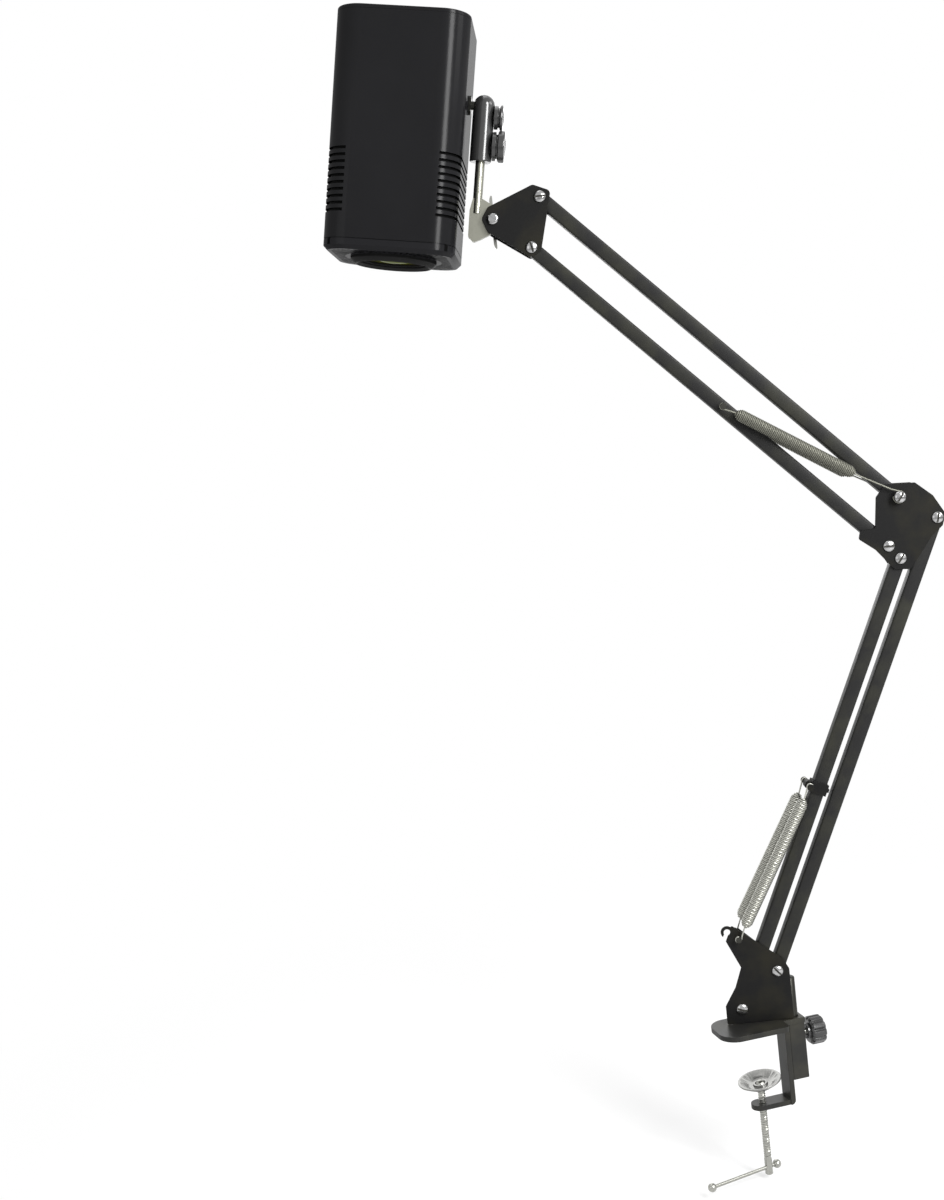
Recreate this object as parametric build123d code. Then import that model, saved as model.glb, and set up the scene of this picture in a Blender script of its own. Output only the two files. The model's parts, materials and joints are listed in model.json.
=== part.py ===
from build123d import *
import math
import os

os.makedirs("parts", exist_ok=True)

# Desk clamp: one bent steel strip with a swivel socket welded behind its spine
STRIP = 4.0
SEAT_WIDTH = 40.0
SEAT_CORNER = 14.0
THROAT_DEPTH = 21.0
THROAT_HEIGHT = 60.0
SEAT_OVERHANG = 44.0
SPINE_WIDTH = 16.0
JAW_WIDTH = 14.0
SOCKET_SIZE = 14.0
SOCKET_LENGTH = 45.0
POST_RADIUS = 4.5

# Clamp screw with its swivelling pad and sliding bar
SCREW_RADIUS = 3.0
SCREW_LENGTH = 72.0
SCREW_PITCH = 2.0
SCREW_TIP_DROP = 47.0
THREAD_DEPTH = 0.35
PAD_RADIUS = 17.0
PAD_DEPTH = 6.0
PAD_WALL = 1.2
PAD_TILT = 8.0
BALL_RADIUS = 4.2
BAR_RADIUS = 1.4
BAR_LENGTH = 62.0
BAR_TO_LEFT = 54.0
BAR_KNOB_RADIUS = 3.4
BAR_TURN = 12.0
BAR_ABOVE_SCREW_END = 6.0

# Lock knobs: a turned plastic head on a steel screw
LOCK_SCREW_RADIUS = 2.5
LOCK_HEAD_RADIUS = 11.0
LOCK_HEAD_LENGTH = 12.0
LOCK_NECK = 5.0
LOCK_DROP = 11.0

# Base bracket: two steel plates on a swivel post
ARM_YAW = -16.0
POST_OFFSET = 39.0
POST_TOP = 20.0
PIVOT_HEIGHT = 15.6
PLATE = 1.5
INSIDE = 5.65
BASE_CLEAR = 0.3
NOTCH_X = -6.0
NOTCH_Z = 62.2
NOTCH_OUTER = 4.8
NOTCH_INNER = 2.6
NOTCH_MOUTH = 3.4
HOOK_X = 2.0
HOOK_Z = 57.0
SPRING_PIN_RADIUS = 1.5
WEB_HEIGHT = 24.0

# Arms: two pairs of square steel tubes, each a parallelogram
LOWER_LINK = 371.0
LOWER_ANGLE = 65.8
LOWER_SPAN = 41.0
LOWER_SPAN_ANGLE = 42.9
UPPER_LINK = 351.5
UPPER_ANGLE = 134.1
UPPER_SPAN = 37.6
UPPER_SPAN_ANGLE = 74.6
ELBOW_STEP_X = -8.0
ELBOW_STEP_Z = 10.2
REAR_TRIM = 4.5
TUBE = 10.5
TUBE_WALL = 1.0
LOWER_CLIP = 184.0
UPPER_CLIP = 165.0
STRAP_LONG = 9.0
STRAP_THICK = 1.2
FOLD_DEEP = 1.3
STRAP_PIN = 8.5
EAR_ACROSS = 8.0
EAR_LONG = 6.0

# Pivot screws, cap nuts and bushes
PIN_RADIUS = 2.0
HEAD_RADIUS = 4.5
HEAD_HEIGHT = 2.6
NUT_ACROSS = 7.0
NUT_HEIGHT = 4.0
BUSH_RADIUS = 3.8
RUNNING = 0.05
APART = 0.3

# Balance springs
WIRE = 1.4
COIL_RADIUS = 3.9
CURLS = 24
SPRING_SIDE = 11.0
HOOK_RUN = 8.0
PLAIN_RUN = 32.0
STUB_END = 13.0
STUB_HEAD = 0.8
TURN_IN = 5.0

# Tilting rod and head
TILT_X = -26.6
TILT_Z = 24.0
ROD_LEAN = 10.5
ROD_RADIUS = 3.5
ROD_OFFSET = 12.6
ROD_TOP = 42.0
ROD_GRIP = 14.0
WASHER_RADIUS = 5.5
LUG_THICK = 5.0
LUG_RADIUS = 9.0
LUG_DROP = 15.0
WING_REACH = 20.0
HEAD_YAW = -2.0
POST_OUTER = 8.2
HEAD_TALL = 41.0
BALL_HEAD_RADIUS = 6.9
STUD_CLEAR = 0.7
KNOB_RADIUS_LOW = 11.6
KNOB_RADIUS_HIGH = 9.4
KNOB_REACH_LOW = 17.8
KNOB_REACH_HIGH = 15.0
KNOB_HEIGHT_LOW = 12.0
KNOB_HEIGHT_HIGH = 33.0
STUD_RADIUS = 3.175

# Projector body
BODY_WIDTH = 98.0
BODY_CORNER = 20.0
SIDE_GAP = 11.4
BODY_TOP = 97.0
BODY_BOTTOM = -68.0
WALL = 2.4
TOP_THICK = 3.0
RIM_HEIGHT = 8.0
RIM_CHAMFER = 3.0
SLOT_PITCH = 4.9
SLOT_HEIGHT = 2.1
SLOT_COUNT = 10
SLOT_TOP = -3.0
SLOT_START = 34.0
SLIT_COUNT = 72
SLIT_WIDTH = 1.9
SLIT_INSET = 6.0
SLIT_INNER = 4.0
LENS_RADIUS = 32.5
FOCUS_DROP = 5.0
FOCUS_TAPER = 2.5
BARREL_RADIUS = 25.0
GLASS_RADIUS = 22.0
BUTTON_RADIUS = 6.0
BUTTON_BACK = 20.0
INLET_OUTER = 5.5
INLET_BORE = 2.8
INLET_DEPTH = 9.0
INLET_HEIGHT = 22.0
BARREL_TRAVEL = 2.0
SCREEN_LAP = 2.5
SCREEN_THICK = 0.6
ENGINE_HEIGHT = 26.0
SHELF_THICK = 3.0
SHELF_ACROSS = 50.0

built = {}


def save(name, shape):
    built[name] = shape
    export_step(shape, f"parts/{name}.step")


def polar(length, degrees):
    return length * math.cos(math.radians(degrees)), length * math.sin(math.radians(degrees))


def shifted(point, step):
    return point[0] + step[0], point[1] + step[1]


# Places in the arm's own plane, x across and z up, measured from the lower left pivot
BASE_LEFT = (0.0, 0.0)
BASE_RIGHT = polar(LOWER_SPAN, LOWER_SPAN_ANGLE)
ELBOW_LEFT = polar(LOWER_LINK, LOWER_ANGLE)
ELBOW_RIGHT = shifted(ELBOW_LEFT, BASE_RIGHT)
UPPER_LOW = shifted(ELBOW_LEFT, (ELBOW_STEP_X, ELBOW_STEP_Z))
UPPER_HIGH = shifted(UPPER_LOW, polar(UPPER_SPAN, UPPER_SPAN_ANGLE))
HEAD_LOW = shifted(UPPER_LOW, polar(UPPER_LINK, UPPER_ANGLE))
HEAD_HIGH = shifted(HEAD_LOW, polar(UPPER_SPAN, UPPER_SPAN_ANGLE))
TILT = shifted(HEAD_LOW, (TILT_X, TILT_Z))
HOOK = (HOOK_X, HOOK_Z)
STRAP = polar(LOWER_CLIP, LOWER_ANGLE)
LOWER_PIN = shifted(STRAP, polar(STRAP_PIN, LOWER_ANGLE + 90))
UPPER_PIN = shifted(UPPER_LOW, polar(UPPER_CLIP, UPPER_ANGLE))

SOCKET_X = THROAT_DEPTH + STRIP + SOCKET_SIZE / 2
SEAT_TOP = STRIP
ARM = Location((SOCKET_X, 0, PIVOT_HEIGHT)) * Rot(0, 0, ARM_YAW) * Pos(-POST_OFFSET, 0, 0)
ROD = ARM * Pos(TILT[0], 0, TILT[1]) * Rot(0, ROD_LEAN, 0) * Pos(-ROD_OFFSET, 0, ROD_TOP)
HEAD = ROD * Rot(0, 0, HEAD_YAW)
BODY_CENTRE = -SIDE_GAP - BODY_WIDTH / 2
BODY = HEAD * Pos(BODY_CENTRE, 0, 0)


def slab(sketch, back, depth):
    """A sketch in x and z, given depth towards the viewer from the plane y = back."""
    return extrude(Plane.XZ.offset(-back) * sketch, depth)


def rod_y(point, radius, low, high):
    """A round bar along y through a point of the arm's plane."""
    return slab(Pos(point[0], point[1]) * Circle(radius), high, high - low)


def rod_z(radius, low, high):
    return Pos(0, 0, low) * extrude(Circle(radius), high - low)


def rod_x(radius, low, high, height=0.0):
    """A round bar along x at a height."""
    return Pos(low, 0, height) * Rot(0, 90, 0) * extrude(Circle(radius), high - low)


def rounded(points, radius):
    """A flat outline with every corner rounded alike."""
    outline = Polyline(*points, close=True)
    face = make_face(outline)
    return fillet(face.vertices(), radius)


def two_sided(shape):
    return shape, mirror(shape, Plane.XZ)


# Desk clamp


def clamp_frame():
    left = -SEAT_OVERHANG + SOCKET_X - THROAT_DEPTH
    right = SOCKET_X + SOCKET_SIZE / 2
    seat = Pos((left + THROAT_DEPTH) / 2, 0, STRIP / 2) * Box(THROAT_DEPTH - left, SEAT_WIDTH, STRIP)
    seat = fillet(seat.edges().filter_by(Axis.Z).group_by(Axis.X)[0], SEAT_CORNER)
    seat = fillet(seat.edges().filter_by(Axis.Z).group_by(Axis.X)[-1], STRIP)
    tail = right - THROAT_DEPTH + STRIP
    seat += Pos((THROAT_DEPTH + right - STRIP) / 2, 0, STRIP / 2) * Box(tail, SPINE_WIDTH, STRIP)
    tall = THROAT_HEIGHT + STRIP
    spine = Pos(THROAT_DEPTH + STRIP / 2, 0, -tall / 2) * Box(STRIP, SPINE_WIDTH, tall)
    jaw_left = -JAW_WIDTH / 2 - STRIP / 2
    jaw_long = THROAT_DEPTH + STRIP - jaw_left
    jaw = Pos(jaw_left + jaw_long / 2, 0, -tall + STRIP / 2) * Box(jaw_long, JAW_WIDTH, STRIP)
    jaw = fillet(jaw.edges().filter_by(Axis.Z).group_by(Axis.X)[0], JAW_WIDTH / 2 - 0.1)
    frame = seat + spine + jaw
    outer = frame.edges().filter_by(Axis.Y).sort_by_distance((THROAT_DEPTH + STRIP, 0, -tall))[0]
    frame = fillet(outer, STRIP * 0.9)
    frame -= rod_z(SCREW_RADIUS + RUNNING, -tall - 1, -tall + STRIP + 1)
    frame -= Pos(SOCKET_X, 0, 0) * rod_z(POST_RADIUS + RUNNING, -1, STRIP + 1)
    return frame


def swivel_socket():
    block = Pos(SOCKET_X, 0, -SOCKET_LENGTH / 2) * Box(SOCKET_SIZE, SOCKET_SIZE, SOCKET_LENGTH)
    block = fillet(block.edges().filter_by(Axis.Z), 1.2)
    block -= Pos(SOCKET_X, 0, 0) * rod_z(POST_RADIUS + RUNNING, -SOCKET_LENGTH - 1, 1)
    block -= rod_x(LOCK_SCREW_RADIUS + RUNNING, SOCKET_X, SOCKET_X + SOCKET_SIZE, -LOCK_DROP)
    return block


def ridged(radius, depth, ridges, length):
    """A knob's head: a round bar along x with shallow flutes cut into its rim."""
    head = rod_x(radius, 0, length)
    head = chamfer(head.edges().filter_by(GeomType.CIRCLE), radius * 0.12)
    for n in range(ridges):
        out, up = polar(radius + depth * 0.6, 360.0 * n / ridges)
        head -= Pos(-1, out, up) * Rot(0, 90, 0) * extrude(Circle(depth * 1.4), length + 2)
    return head


def lock_knob():
    head = ridged(LOCK_HEAD_RADIUS, 1.4, 10, LOCK_HEAD_LENGTH)
    start = SOCKET_X + SOCKET_SIZE / 2 + LOCK_NECK
    collar = rod_x(LOCK_HEAD_RADIUS * 0.55, -2.0, 0)
    knob = Pos(start, 0, -LOCK_DROP) * (head + collar)
    end = start + LOCK_HEAD_LENGTH * 0.7
    return knob - rod_x(LOCK_SCREW_RADIUS + RUNNING, start - 3, end, -LOCK_DROP)


def lock_screw():
    low = SOCKET_X + POST_RADIUS + RUNNING + 0.1
    high = SOCKET_X + SOCKET_SIZE / 2 + LOCK_NECK + LOCK_HEAD_LENGTH * 0.7
    return rod_x(LOCK_SCREW_RADIUS, low, high, -LOCK_DROP)


# Clamp screw

SCREW_TIP = -SCREW_TIP_DROP
SCREW_END = SCREW_TIP - SCREW_LENGTH
BAR_HEIGHT = SCREW_END + BAR_ABOVE_SCREW_END


def clamp_screw():
    screw = rod_z(SCREW_RADIUS, SCREW_END, SCREW_TIP)
    screw = chamfer(screw.edges().filter_by(GeomType.CIRCLE).sort_by(Axis.Z)[0], 0.8)
    grooves = int((SCREW_LENGTH - 3 * BAR_ABOVE_SCREW_END) / SCREW_PITCH)
    for n in range(grooves):
        z = SCREW_TIP - BALL_RADIUS - SCREW_PITCH * (n + 0.5)
        ring = rod_z(SCREW_RADIUS + 1, z, z + SCREW_PITCH / 2)
        screw -= ring - rod_z(SCREW_RADIUS - THREAD_DEPTH, z - 1, z + SCREW_PITCH)
    hole = Pos(0, 0, BAR_HEIGHT) * Rot(0, 0, BAR_TURN) * rod_x(BAR_RADIUS + RUNNING, -9, 9)
    return screw - hole


def tommy_bar():
    left = -BAR_TO_LEFT
    return Pos(0, 0, BAR_HEIGHT) * Rot(0, 0, BAR_TURN) * rod_x(BAR_RADIUS, left, left + BAR_LENGTH)


def tommy_knobs():
    """Two balls, one on each end of the bar."""
    knobs = []
    for x in (-BAR_TO_LEFT, BAR_LENGTH - BAR_TO_LEFT):
        ball = Pos(x, 0, 0) * Sphere(BAR_KNOB_RADIUS)
        ball -= rod_x(BAR_RADIUS, -BAR_TO_LEFT, BAR_LENGTH - BAR_TO_LEFT)
        knobs.append(Pos(0, 0, BAR_HEIGHT) * Rot(0, 0, BAR_TURN) * ball)
    return Compound(children=knobs)


BALL_CENTRE = SCREW_TIP + BALL_RADIUS * 0.2


def pad_ball():
    """The ball that turns on the screw's tip and lets the pad lean."""
    ball = Pos(0, 0, BALL_CENTRE) * Sphere(BALL_RADIUS)
    ball -= rod_z(SCREW_RADIUS + RUNNING, BALL_CENTRE - 2 * BALL_RADIUS, SCREW_TIP + 0.1)
    return ball


def clamp_pad():
    """A dished steel disc, its hollow side up, held by its socket on the ball."""
    low = -1.0
    high = low + PAD_DEPTH
    inner = BALL_RADIUS + APART
    neck = math.sqrt(inner ** 2 - 1.0)
    outline = Polyline(
        (neck, low),
        (PAD_RADIUS * 0.55, low),
        (PAD_RADIUS, high - PAD_WALL),
        (PAD_RADIUS, high),
        (PAD_RADIUS - PAD_WALL, high),
        (PAD_RADIUS * 0.5, low + PAD_WALL * 1.4),
        (neck, low + PAD_WALL * 1.4),
        close=True,
    )
    dish = revolve(Plane.XZ * make_face(outline), Axis.Z)
    dish += rod_z(inner + 1.2, low, low + 3.2)
    dish -= Sphere(inner)
    dish -= rod_z(SCREW_RADIUS + 1.0, low - 2, 0)
    return Pos(0, 0, BALL_CENTRE) * Rot(0, -PAD_TILT, 0) * dish


# Fasteners


def screw_y(point, inside, back_extra=0.0):
    """A domed pivot screw from the front plate through to its nut behind."""
    front = -(inside + PLATE)
    back = inside + PLATE + NUT_HEIGHT - 0.4 + back_extra
    shank = rod_y(point, PIN_RADIUS, front, back)
    head = rod_y(point, HEAD_RADIUS, front - HEAD_HEIGHT, front)
    head = fillet(head.edges().filter_by(GeomType.CIRCLE).sort_by(Axis.Y)[0], HEAD_HEIGHT * 0.8)
    slot = Pos(point[0], front - HEAD_HEIGHT, point[1]) * Rot(0, 40, 0) * Box(2 * HEAD_RADIUS, 1.2, 1.0)
    return head + shank - slot


def nut_y(point, inside):
    low = inside + PLATE
    hexagon = Pos(*point) * RegularPolygon(NUT_ACROSS / 2, 6, major_radius=False)
    nut = slab(hexagon, low + NUT_HEIGHT, NUT_HEIGHT)
    return nut - rod_y(point, PIN_RADIUS + RUNNING, low - 1, low + NUT_HEIGHT + 1)


def spacers_y(point):
    """Two sleeves outside the plates, one under the screw's head and one under its nut."""
    low = INSIDE + PLATE + APART
    sleeve = rod_y(point, BUSH_RADIUS, low, STUB_END)
    sleeve -= rod_y(point, PIN_RADIUS + RUNNING, low - 1, STUB_END + 1)
    return two_sided(sleeve)


def group(shapes):
    return Compound(children=[ARM * s for s in shapes])


def plate_pair(front_sketch, rear_sketch, inside, holes):
    """Front and rear plates of a bracket, drilled for its pins."""
    plates = []
    for sketch in (front_sketch, rear_sketch):
        plate = slab(sketch, inside + PLATE, PLATE)
        for point, radius in holes:
            plate -= rod_y(point, radius + RUNNING, inside - 1, inside + PLATE + 1)
        plates.append(plate)
    return ARM * mirror(plates[0], Plane.XZ), ARM * plates[1]


# Base bracket

BASE_BOTTOM = SEAT_TOP + BASE_CLEAR - PIVOT_HEIGHT


def base_outline():
    right = POST_OFFSET + 0.3
    shape = rounded(
        [
            (-12.5, BASE_BOTTOM),
            (-12.5, 3.0),
            (-3.5, 17.5),
            (2.3, 33.0),
            (-8.0, 56.0),
            (NOTCH_X - 1.0, NOTCH_Z - 2.0),
            (NOTCH_X + 4.0, NOTCH_Z + NOTCH_OUTER),
            (35.0, BASE_RIGHT[1] + 9.5),
            (right, BASE_RIGHT[1] + 1.0),
            (right, BASE_BOTTOM),
        ],
        1.2,
    )
    notch = Pos(NOTCH_X, NOTCH_Z)
    mouth = notch * Rot(0, 0, 245) * Pos(NOTCH_OUTER, 0) * Rectangle(2 * NOTCH_OUTER, NOTCH_MOUTH)
    return shape + notch * Circle(NOTCH_OUTER) - notch * Circle(NOTCH_INNER) - mouth


def base_rear_outline():
    """The rear plate is cut smaller, with no notch at its tip."""
    right = POST_OFFSET + 0.3
    return rounded(
        [
            (-6.5, BASE_BOTTOM),
            (-6.5, 2.5),
            (1.5, 16.0),
            (6.0, 33.0),
            (HOOK_X - 3.8, HOOK_Z - 2.4),
            (HOOK_X - 3.2, HOOK_Z + 3.4),
            (HOOK_X + 2.6, HOOK_Z + 3.4),
            (BASE_RIGHT[0] + 2.0, BASE_RIGHT[1] + 6.5),
            (right, BASE_RIGHT[1] - 3.0),
            (right, BASE_BOTTOM),
        ],
        1.2,
    )


def base_web():
    """The bent foot that joins the two side plates; the post is welded to its back."""
    left = 4.0
    right = POST_OFFSET - POST_RADIUS - RUNNING
    web = Pos((left + right) / 2, 0, BASE_BOTTOM + PLATE / 2) * Box(right - left, 2 * INSIDE, PLATE)
    back = Pos(right - PLATE / 2, 0, BASE_BOTTOM + WEB_HEIGHT / 2)
    back *= Box(PLATE, 2 * INSIDE, WEB_HEIGHT)
    return ARM * (web + back)


def swivel_post():
    low = -PIVOT_HEIGHT - SOCKET_LENGTH + 4
    post = rod_z(POST_RADIUS, low, POST_TOP)
    post = chamfer(post.edges().filter_by(GeomType.CIRCLE), 0.6)
    return ARM * Pos(POST_OFFSET, 0, 0) * post


def anchor_stubs():
    """A headed stub through each plate's tip, for a lower spring to hook on."""
    stub = rod_y(HOOK, SPRING_PIN_RADIUS, INSIDE, STUB_END)
    stub += rod_y(HOOK, SPRING_PIN_RADIUS + STUB_HEAD, STUB_END - STUB_HEAD, STUB_END)
    return group(two_sided(stub))


def headed_pin(point):
    reach = SPRING_SIDE + 2.5
    pin = rod_y(point, SPRING_PIN_RADIUS, -reach, reach)
    for y in (-reach - 1.2, reach):
        pin += rod_y(point, SPRING_PIN_RADIUS + 1.0, y, y + 1.2)
    return pin


def clip_pin(point):
    """A headed pin through a tube, with a spring hooked on each end."""
    return ARM * headed_pin(point)


def strap_clip():
    """A strap folded round the tube. The springs hook on a pin through its ear."""
    inner = TUBE + 2 * RUNNING
    outer = inner + 2 * STRAP_THICK
    strap = Box(STRAP_LONG, outer, outer) - Box(STRAP_LONG + 2, inner, inner)
    low = inner / 2 + STRAP_THICK / 2
    high = STRAP_PIN + SPRING_PIN_RADIUS + 1.0
    ear = Pos(0, 0, (low + high) / 2) * Box(EAR_LONG, EAR_ACROSS, high - low)
    ear = fillet(ear.edges().filter_by(Axis.Y).group_by(Axis.Z)[-1], 2.0)
    fold = Pos(0, 0, -outer / 2 - FOLD_DEEP / 2) * Box(EAR_LONG / 2, EAR_ACROSS, FOLD_DEEP + 1.0)
    clip = strap + ear + fold + headed_pin((0.0, STRAP_PIN))
    return ARM * Pos(STRAP[0], 0, STRAP[1]) * Rot(0, -LOWER_ANGLE, 0) * clip


# Arm tubes


def tube_between(start, end, clip=None):
    long = math.hypot(end[0] - start[0], end[1] - start[1])
    turn = math.degrees(math.atan2(end[1] - start[1], end[0] - start[0]))
    middle = ((start[0] + end[0]) / 2, (start[1] + end[1]) / 2)
    tube = slab(Pos(*middle) * Rot(0, 0, turn) * SlotCenterToCenter(long, TUBE), TUBE / 2, TUBE)
    inner = TUBE - 2 * TUBE_WALL
    tube -= Pos(middle[0], 0, middle[1]) * Rot(0, -turn, 0) * Box(long + 2 * TUBE, inner, inner)
    for point in (start, end):
        tube -= rod_y(point, PIN_RADIUS + RUNNING, -TUBE, TUBE)
    if clip is not None:
        tube -= rod_y(clip, SPRING_PIN_RADIUS + RUNNING, -TUBE, TUBE)
    return ARM * tube


# Springs


def biarc(p0, t0, p1, t1):
    """Two arcs that leave p0 along t0 and reach p1 along t1."""
    v = p1 - p0
    t = t0 + t1
    k = 2 * (1 - t0.dot(t1))
    d = (-v.dot(t) + math.sqrt(v.dot(t) ** 2 + k * v.dot(v))) / k
    q0 = p0 + t0 * d
    q1 = p1 - t1 * d
    joint = (q0 + q1) * 0.5
    along = (q1 - q0).normalized()
    return [Edge.make_tangent_arc(p0, t0, joint), Edge.make_tangent_arc(joint, along, p1)]


def spring_wire(long, pin_radius, near_run):
    """One unbroken wire: a straight end, its coils, and a straight end, along x."""
    start = pin_radius + APART
    coil_low = near_run + TURN_IN
    coil_high = long - HOOK_RUN - TURN_IN
    rise = (coil_high - coil_low) / (2 * CURLS)
    slope = Vector(rise, 0, math.pi * COIL_RADIUS).normalized()
    points = [Vector(start, 0, 0), Vector(near_run, 0, 0)]
    edges = [Edge.make_line(points[0], points[1])]
    ahead = Vector(1, 0, 0)
    here = points[1]
    tangent = ahead
    for n in range(2 * CURLS + 1):
        side = 1 if n % 2 == 0 else -1
        there = Vector(coil_low + n * rise, side * COIL_RADIUS, 0)
        towards = Vector(slope.X, 0, side * slope.Z)
        edges += biarc(here, tangent, there, towards)
        here = there
        tangent = towards
    last = Vector(long - HOOK_RUN, 0, 0)
    edges += biarc(here, tangent, last, ahead)
    edges.append(Edge.make_line(last, Vector(long - start, 0, 0)))
    return Wire(edges)


def least_gap(wire, name):
    """Prints how near one turn of the wire comes to the next."""
    count = 40 * CURLS
    points = [wire.position_at(n / count) for n in range(count + 1)]
    step = wire.length / count
    apart = int(2.0 * COIL_RADIUS / step) + 1
    least = min(
        (points[a] - points[b]).length
        for a in range(len(points))
        for b in range(a + apart, min(a + 3 * 40, len(points)))
    )
    print(f"{name}: least gap between turns {least - WIRE:.2f} mm")


def spring_pair(start, end, pin_radius, near_run, name):
    long = math.hypot(end[0] - start[0], end[1] - start[1])
    turn = math.degrees(math.atan2(end[1] - start[1], end[0] - start[0]))
    path = spring_wire(long, pin_radius, near_run)
    least_gap(path, name)
    coil = sweep(Plane(path @ 0, z_dir=path % 0) * Circle(WIRE / 2), path)
    placed = Pos(start[0], 0, start[1]) * Rot(0, -turn, 0) * coil
    front = ARM * Pos(0, -SPRING_SIDE, 0) * placed
    rear = ARM * Pos(0, SPRING_SIDE, 0) * placed
    return front, rear


# Elbow and head brackets


def elbow_outline(trim):
    """The plate's outline, its open left side cut back by the trim."""
    d = ELBOW_RIGHT
    c = ELBOW_LEFT
    a = UPPER_HIGH
    b = UPPER_LOW
    return rounded(
        [
            (a[0] - 16.5 + trim, a[1] + 1.5),
            (a[0] - 9.0 + trim, a[1] + 10.5),
            (a[0] + 13.5, a[1] + 9.5),
            (d[0] - 2.0, d[1] + 17.0),
            (d[0] + 6.5, d[1] + 2.0),
            (d[0] + 3.5, d[1] - 6.5),
            (d[0] - 5.0, d[1] - 13.5),
            (c[0] + 7.0, c[1] - 9.0),
            (c[0] - 5.0, c[1] - 8.0),
            (b[0] - 10.0 + trim, b[1] - 2.0),
            (b[0] - 22.0 + trim, b[1] + 7.5),
            (b[0] - 20.5 + trim, b[1] + 13.5),
            (b[0] - 9.0 + trim, b[1] + 14.5),
        ],
        2.0,
    )


def head_outline():
    return rounded(
        [
            (HEAD_HIGH[0] - 4.5, HEAD_HIGH[1] + 9.5),
            (HEAD_HIGH[0] + 8.5, HEAD_HIGH[1] + 3.5),
            (HEAD_LOW[0] + 7.0, HEAD_LOW[1] - 3.0),
            (HEAD_LOW[0] - 1.0, HEAD_LOW[1] - 7.5),
            (TILT[0] - 5.0, TILT[1] - 9.0),
            (TILT[0] - 8.5, TILT[1] + 1.0),
            (TILT[0] - 3.0, TILT[1] + 9.0),
        ],
        3.5,
    )


# Tilting rod, its lug and its wing nut, in the rod's own frame

TILT_IN_ROD = (ROD_OFFSET, -ROD_TOP)


def mount_rod():
    lug = Polyline(
        (-ROD_RADIUS, -ROD_TOP + 15),
        (ROD_RADIUS, -ROD_TOP + 15),
        (ROD_OFFSET + 4.5, -ROD_TOP + 8.0),
        (ROD_OFFSET + LUG_RADIUS - 0.5, -ROD_TOP),
        (ROD_OFFSET + 3.0, -ROD_TOP - LUG_RADIUS + 0.5),
        (4.5, -ROD_TOP - LUG_DROP),
        (-1.0, -ROD_TOP - LUG_DROP - 2.5),
        (-5.2, -ROD_TOP - LUG_DROP + 1.5),
        (-5.4, -ROD_TOP + 6.0),
        close=True,
    )
    face = make_face(lug)
    face = fillet(face.vertices().sort_by(Axis.Y)[:-2], 2.0)
    tab = slab(face, LUG_THICK / 2, LUG_THICK)
    shaft = rod_z(ROD_RADIUS, -ROD_TOP + 4, ROD_GRIP)
    hole = rod_y(TILT_IN_ROD, PIN_RADIUS + RUNNING, -LUG_THICK, LUG_THICK)
    return ROD * (tab + shaft - hole)


def tilt_washers():
    low = LUG_THICK / 2 + APART
    ring = rod_y(TILT_IN_ROD, WASHER_RADIUS, low, INSIDE)
    ring -= rod_y(TILT_IN_ROD, PIN_RADIUS + RUNNING, low - 1, INSIDE + 1)
    return Compound(children=[ROD * s for s in two_sided(ring)])


def wing_nut():
    low = INSIDE + PLATE + APART
    hub = rod_y(TILT, 5.0, low, low + 6.0)
    wing = slab(Pos(TILT[0] + 0.5, TILT[1]) * Ellipse(3.0, WING_REACH), low + 9.0, 7.0)
    thin = Pos(TILT[0], low + 5, TILT[1]) * Box(2.4, 20, 2 * WING_REACH + 4)
    wing = wing & thin
    wing = wing & Pos(TILT[0], low + 2.0 + 5.0, TILT[1]) * Box(6, 10, 2 * WING_REACH + 4)
    nut = hub + wing
    return ARM * (nut - rod_y(TILT, PIN_RADIUS + RUNNING, low - 1, low + 12))


# Ball head, in the rod's frame


def head_housing():
    """The black post: it grips the rod below and the ball under its domed top."""
    post = rod_z(POST_OUTER, 0, HEAD_TALL)
    post = chamfer(post.edges().filter_by(GeomType.CIRCLE).sort_by(Axis.Z)[0], 0.6)
    post += Pos(0, 0, HEAD_TALL) * Sphere(POST_OUTER)
    post -= rod_z(ROD_RADIUS + RUNNING, -1, ROD_GRIP + 0.5)
    notch = 2 * STUD_RADIUS + 2 * STUD_CLEAR
    window = Pos(-POST_OUTER, 0, HEAD_TALL) * Box(2 * POST_OUTER, notch, notch)
    post -= window + Pos(0, 0, HEAD_TALL) * Rot(0, 90, 0) * Sphere(BALL_HEAD_RADIUS + RUNNING)
    for height in (KNOB_HEIGHT_LOW, KNOB_HEIGHT_HIGH):
        post -= rod_x(LOCK_SCREW_RADIUS + RUNNING, 0, POST_OUTER + 2, height)
    return HEAD * post


def head_ball():
    """The ball with its threaded stud and the flange that seats on the projector."""
    ball = Pos(0, 0, HEAD_TALL) * Sphere(BALL_HEAD_RADIUS)
    stud = rod_x(STUD_RADIUS, -SIDE_GAP - 8.0, 0, HEAD_TALL)
    flange = rod_x(7.0, -SIDE_GAP, -SIDE_GAP + 1.8, HEAD_TALL)
    return HEAD * (ball + stud + flange)


def head_knob(radius, reach, height):
    """A turned thumb screw: hub, groove and head."""
    hub = rod_x(radius * 0.92, POST_OUTER + APART, POST_OUTER + 3.0)
    groove = rod_x(radius * 0.78, POST_OUTER + 3.0, POST_OUTER + 4.4)
    head = Pos(POST_OUTER + 4.4, 0, 0) * ridged(radius, 0.9, 14, reach - POST_OUTER - 4.4)
    tip = LOCK_SCREW_RADIUS + 2.2
    screw = rod_x(LOCK_SCREW_RADIUS, tip, POST_OUTER + 1.0)
    return HEAD * Pos(0, 0, height) * (hub + groove + head + screw)


# Projector, in its own frame: the middle of the body, w up


def body_sketch(inset):
    side = BODY_WIDTH - 2 * inset
    return RectangleRounded(side, side, BODY_CORNER - inset)


def body_block(inset, low, high):
    return Pos(0, 0, low) * extrude(body_sketch(inset), high - low)


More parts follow.
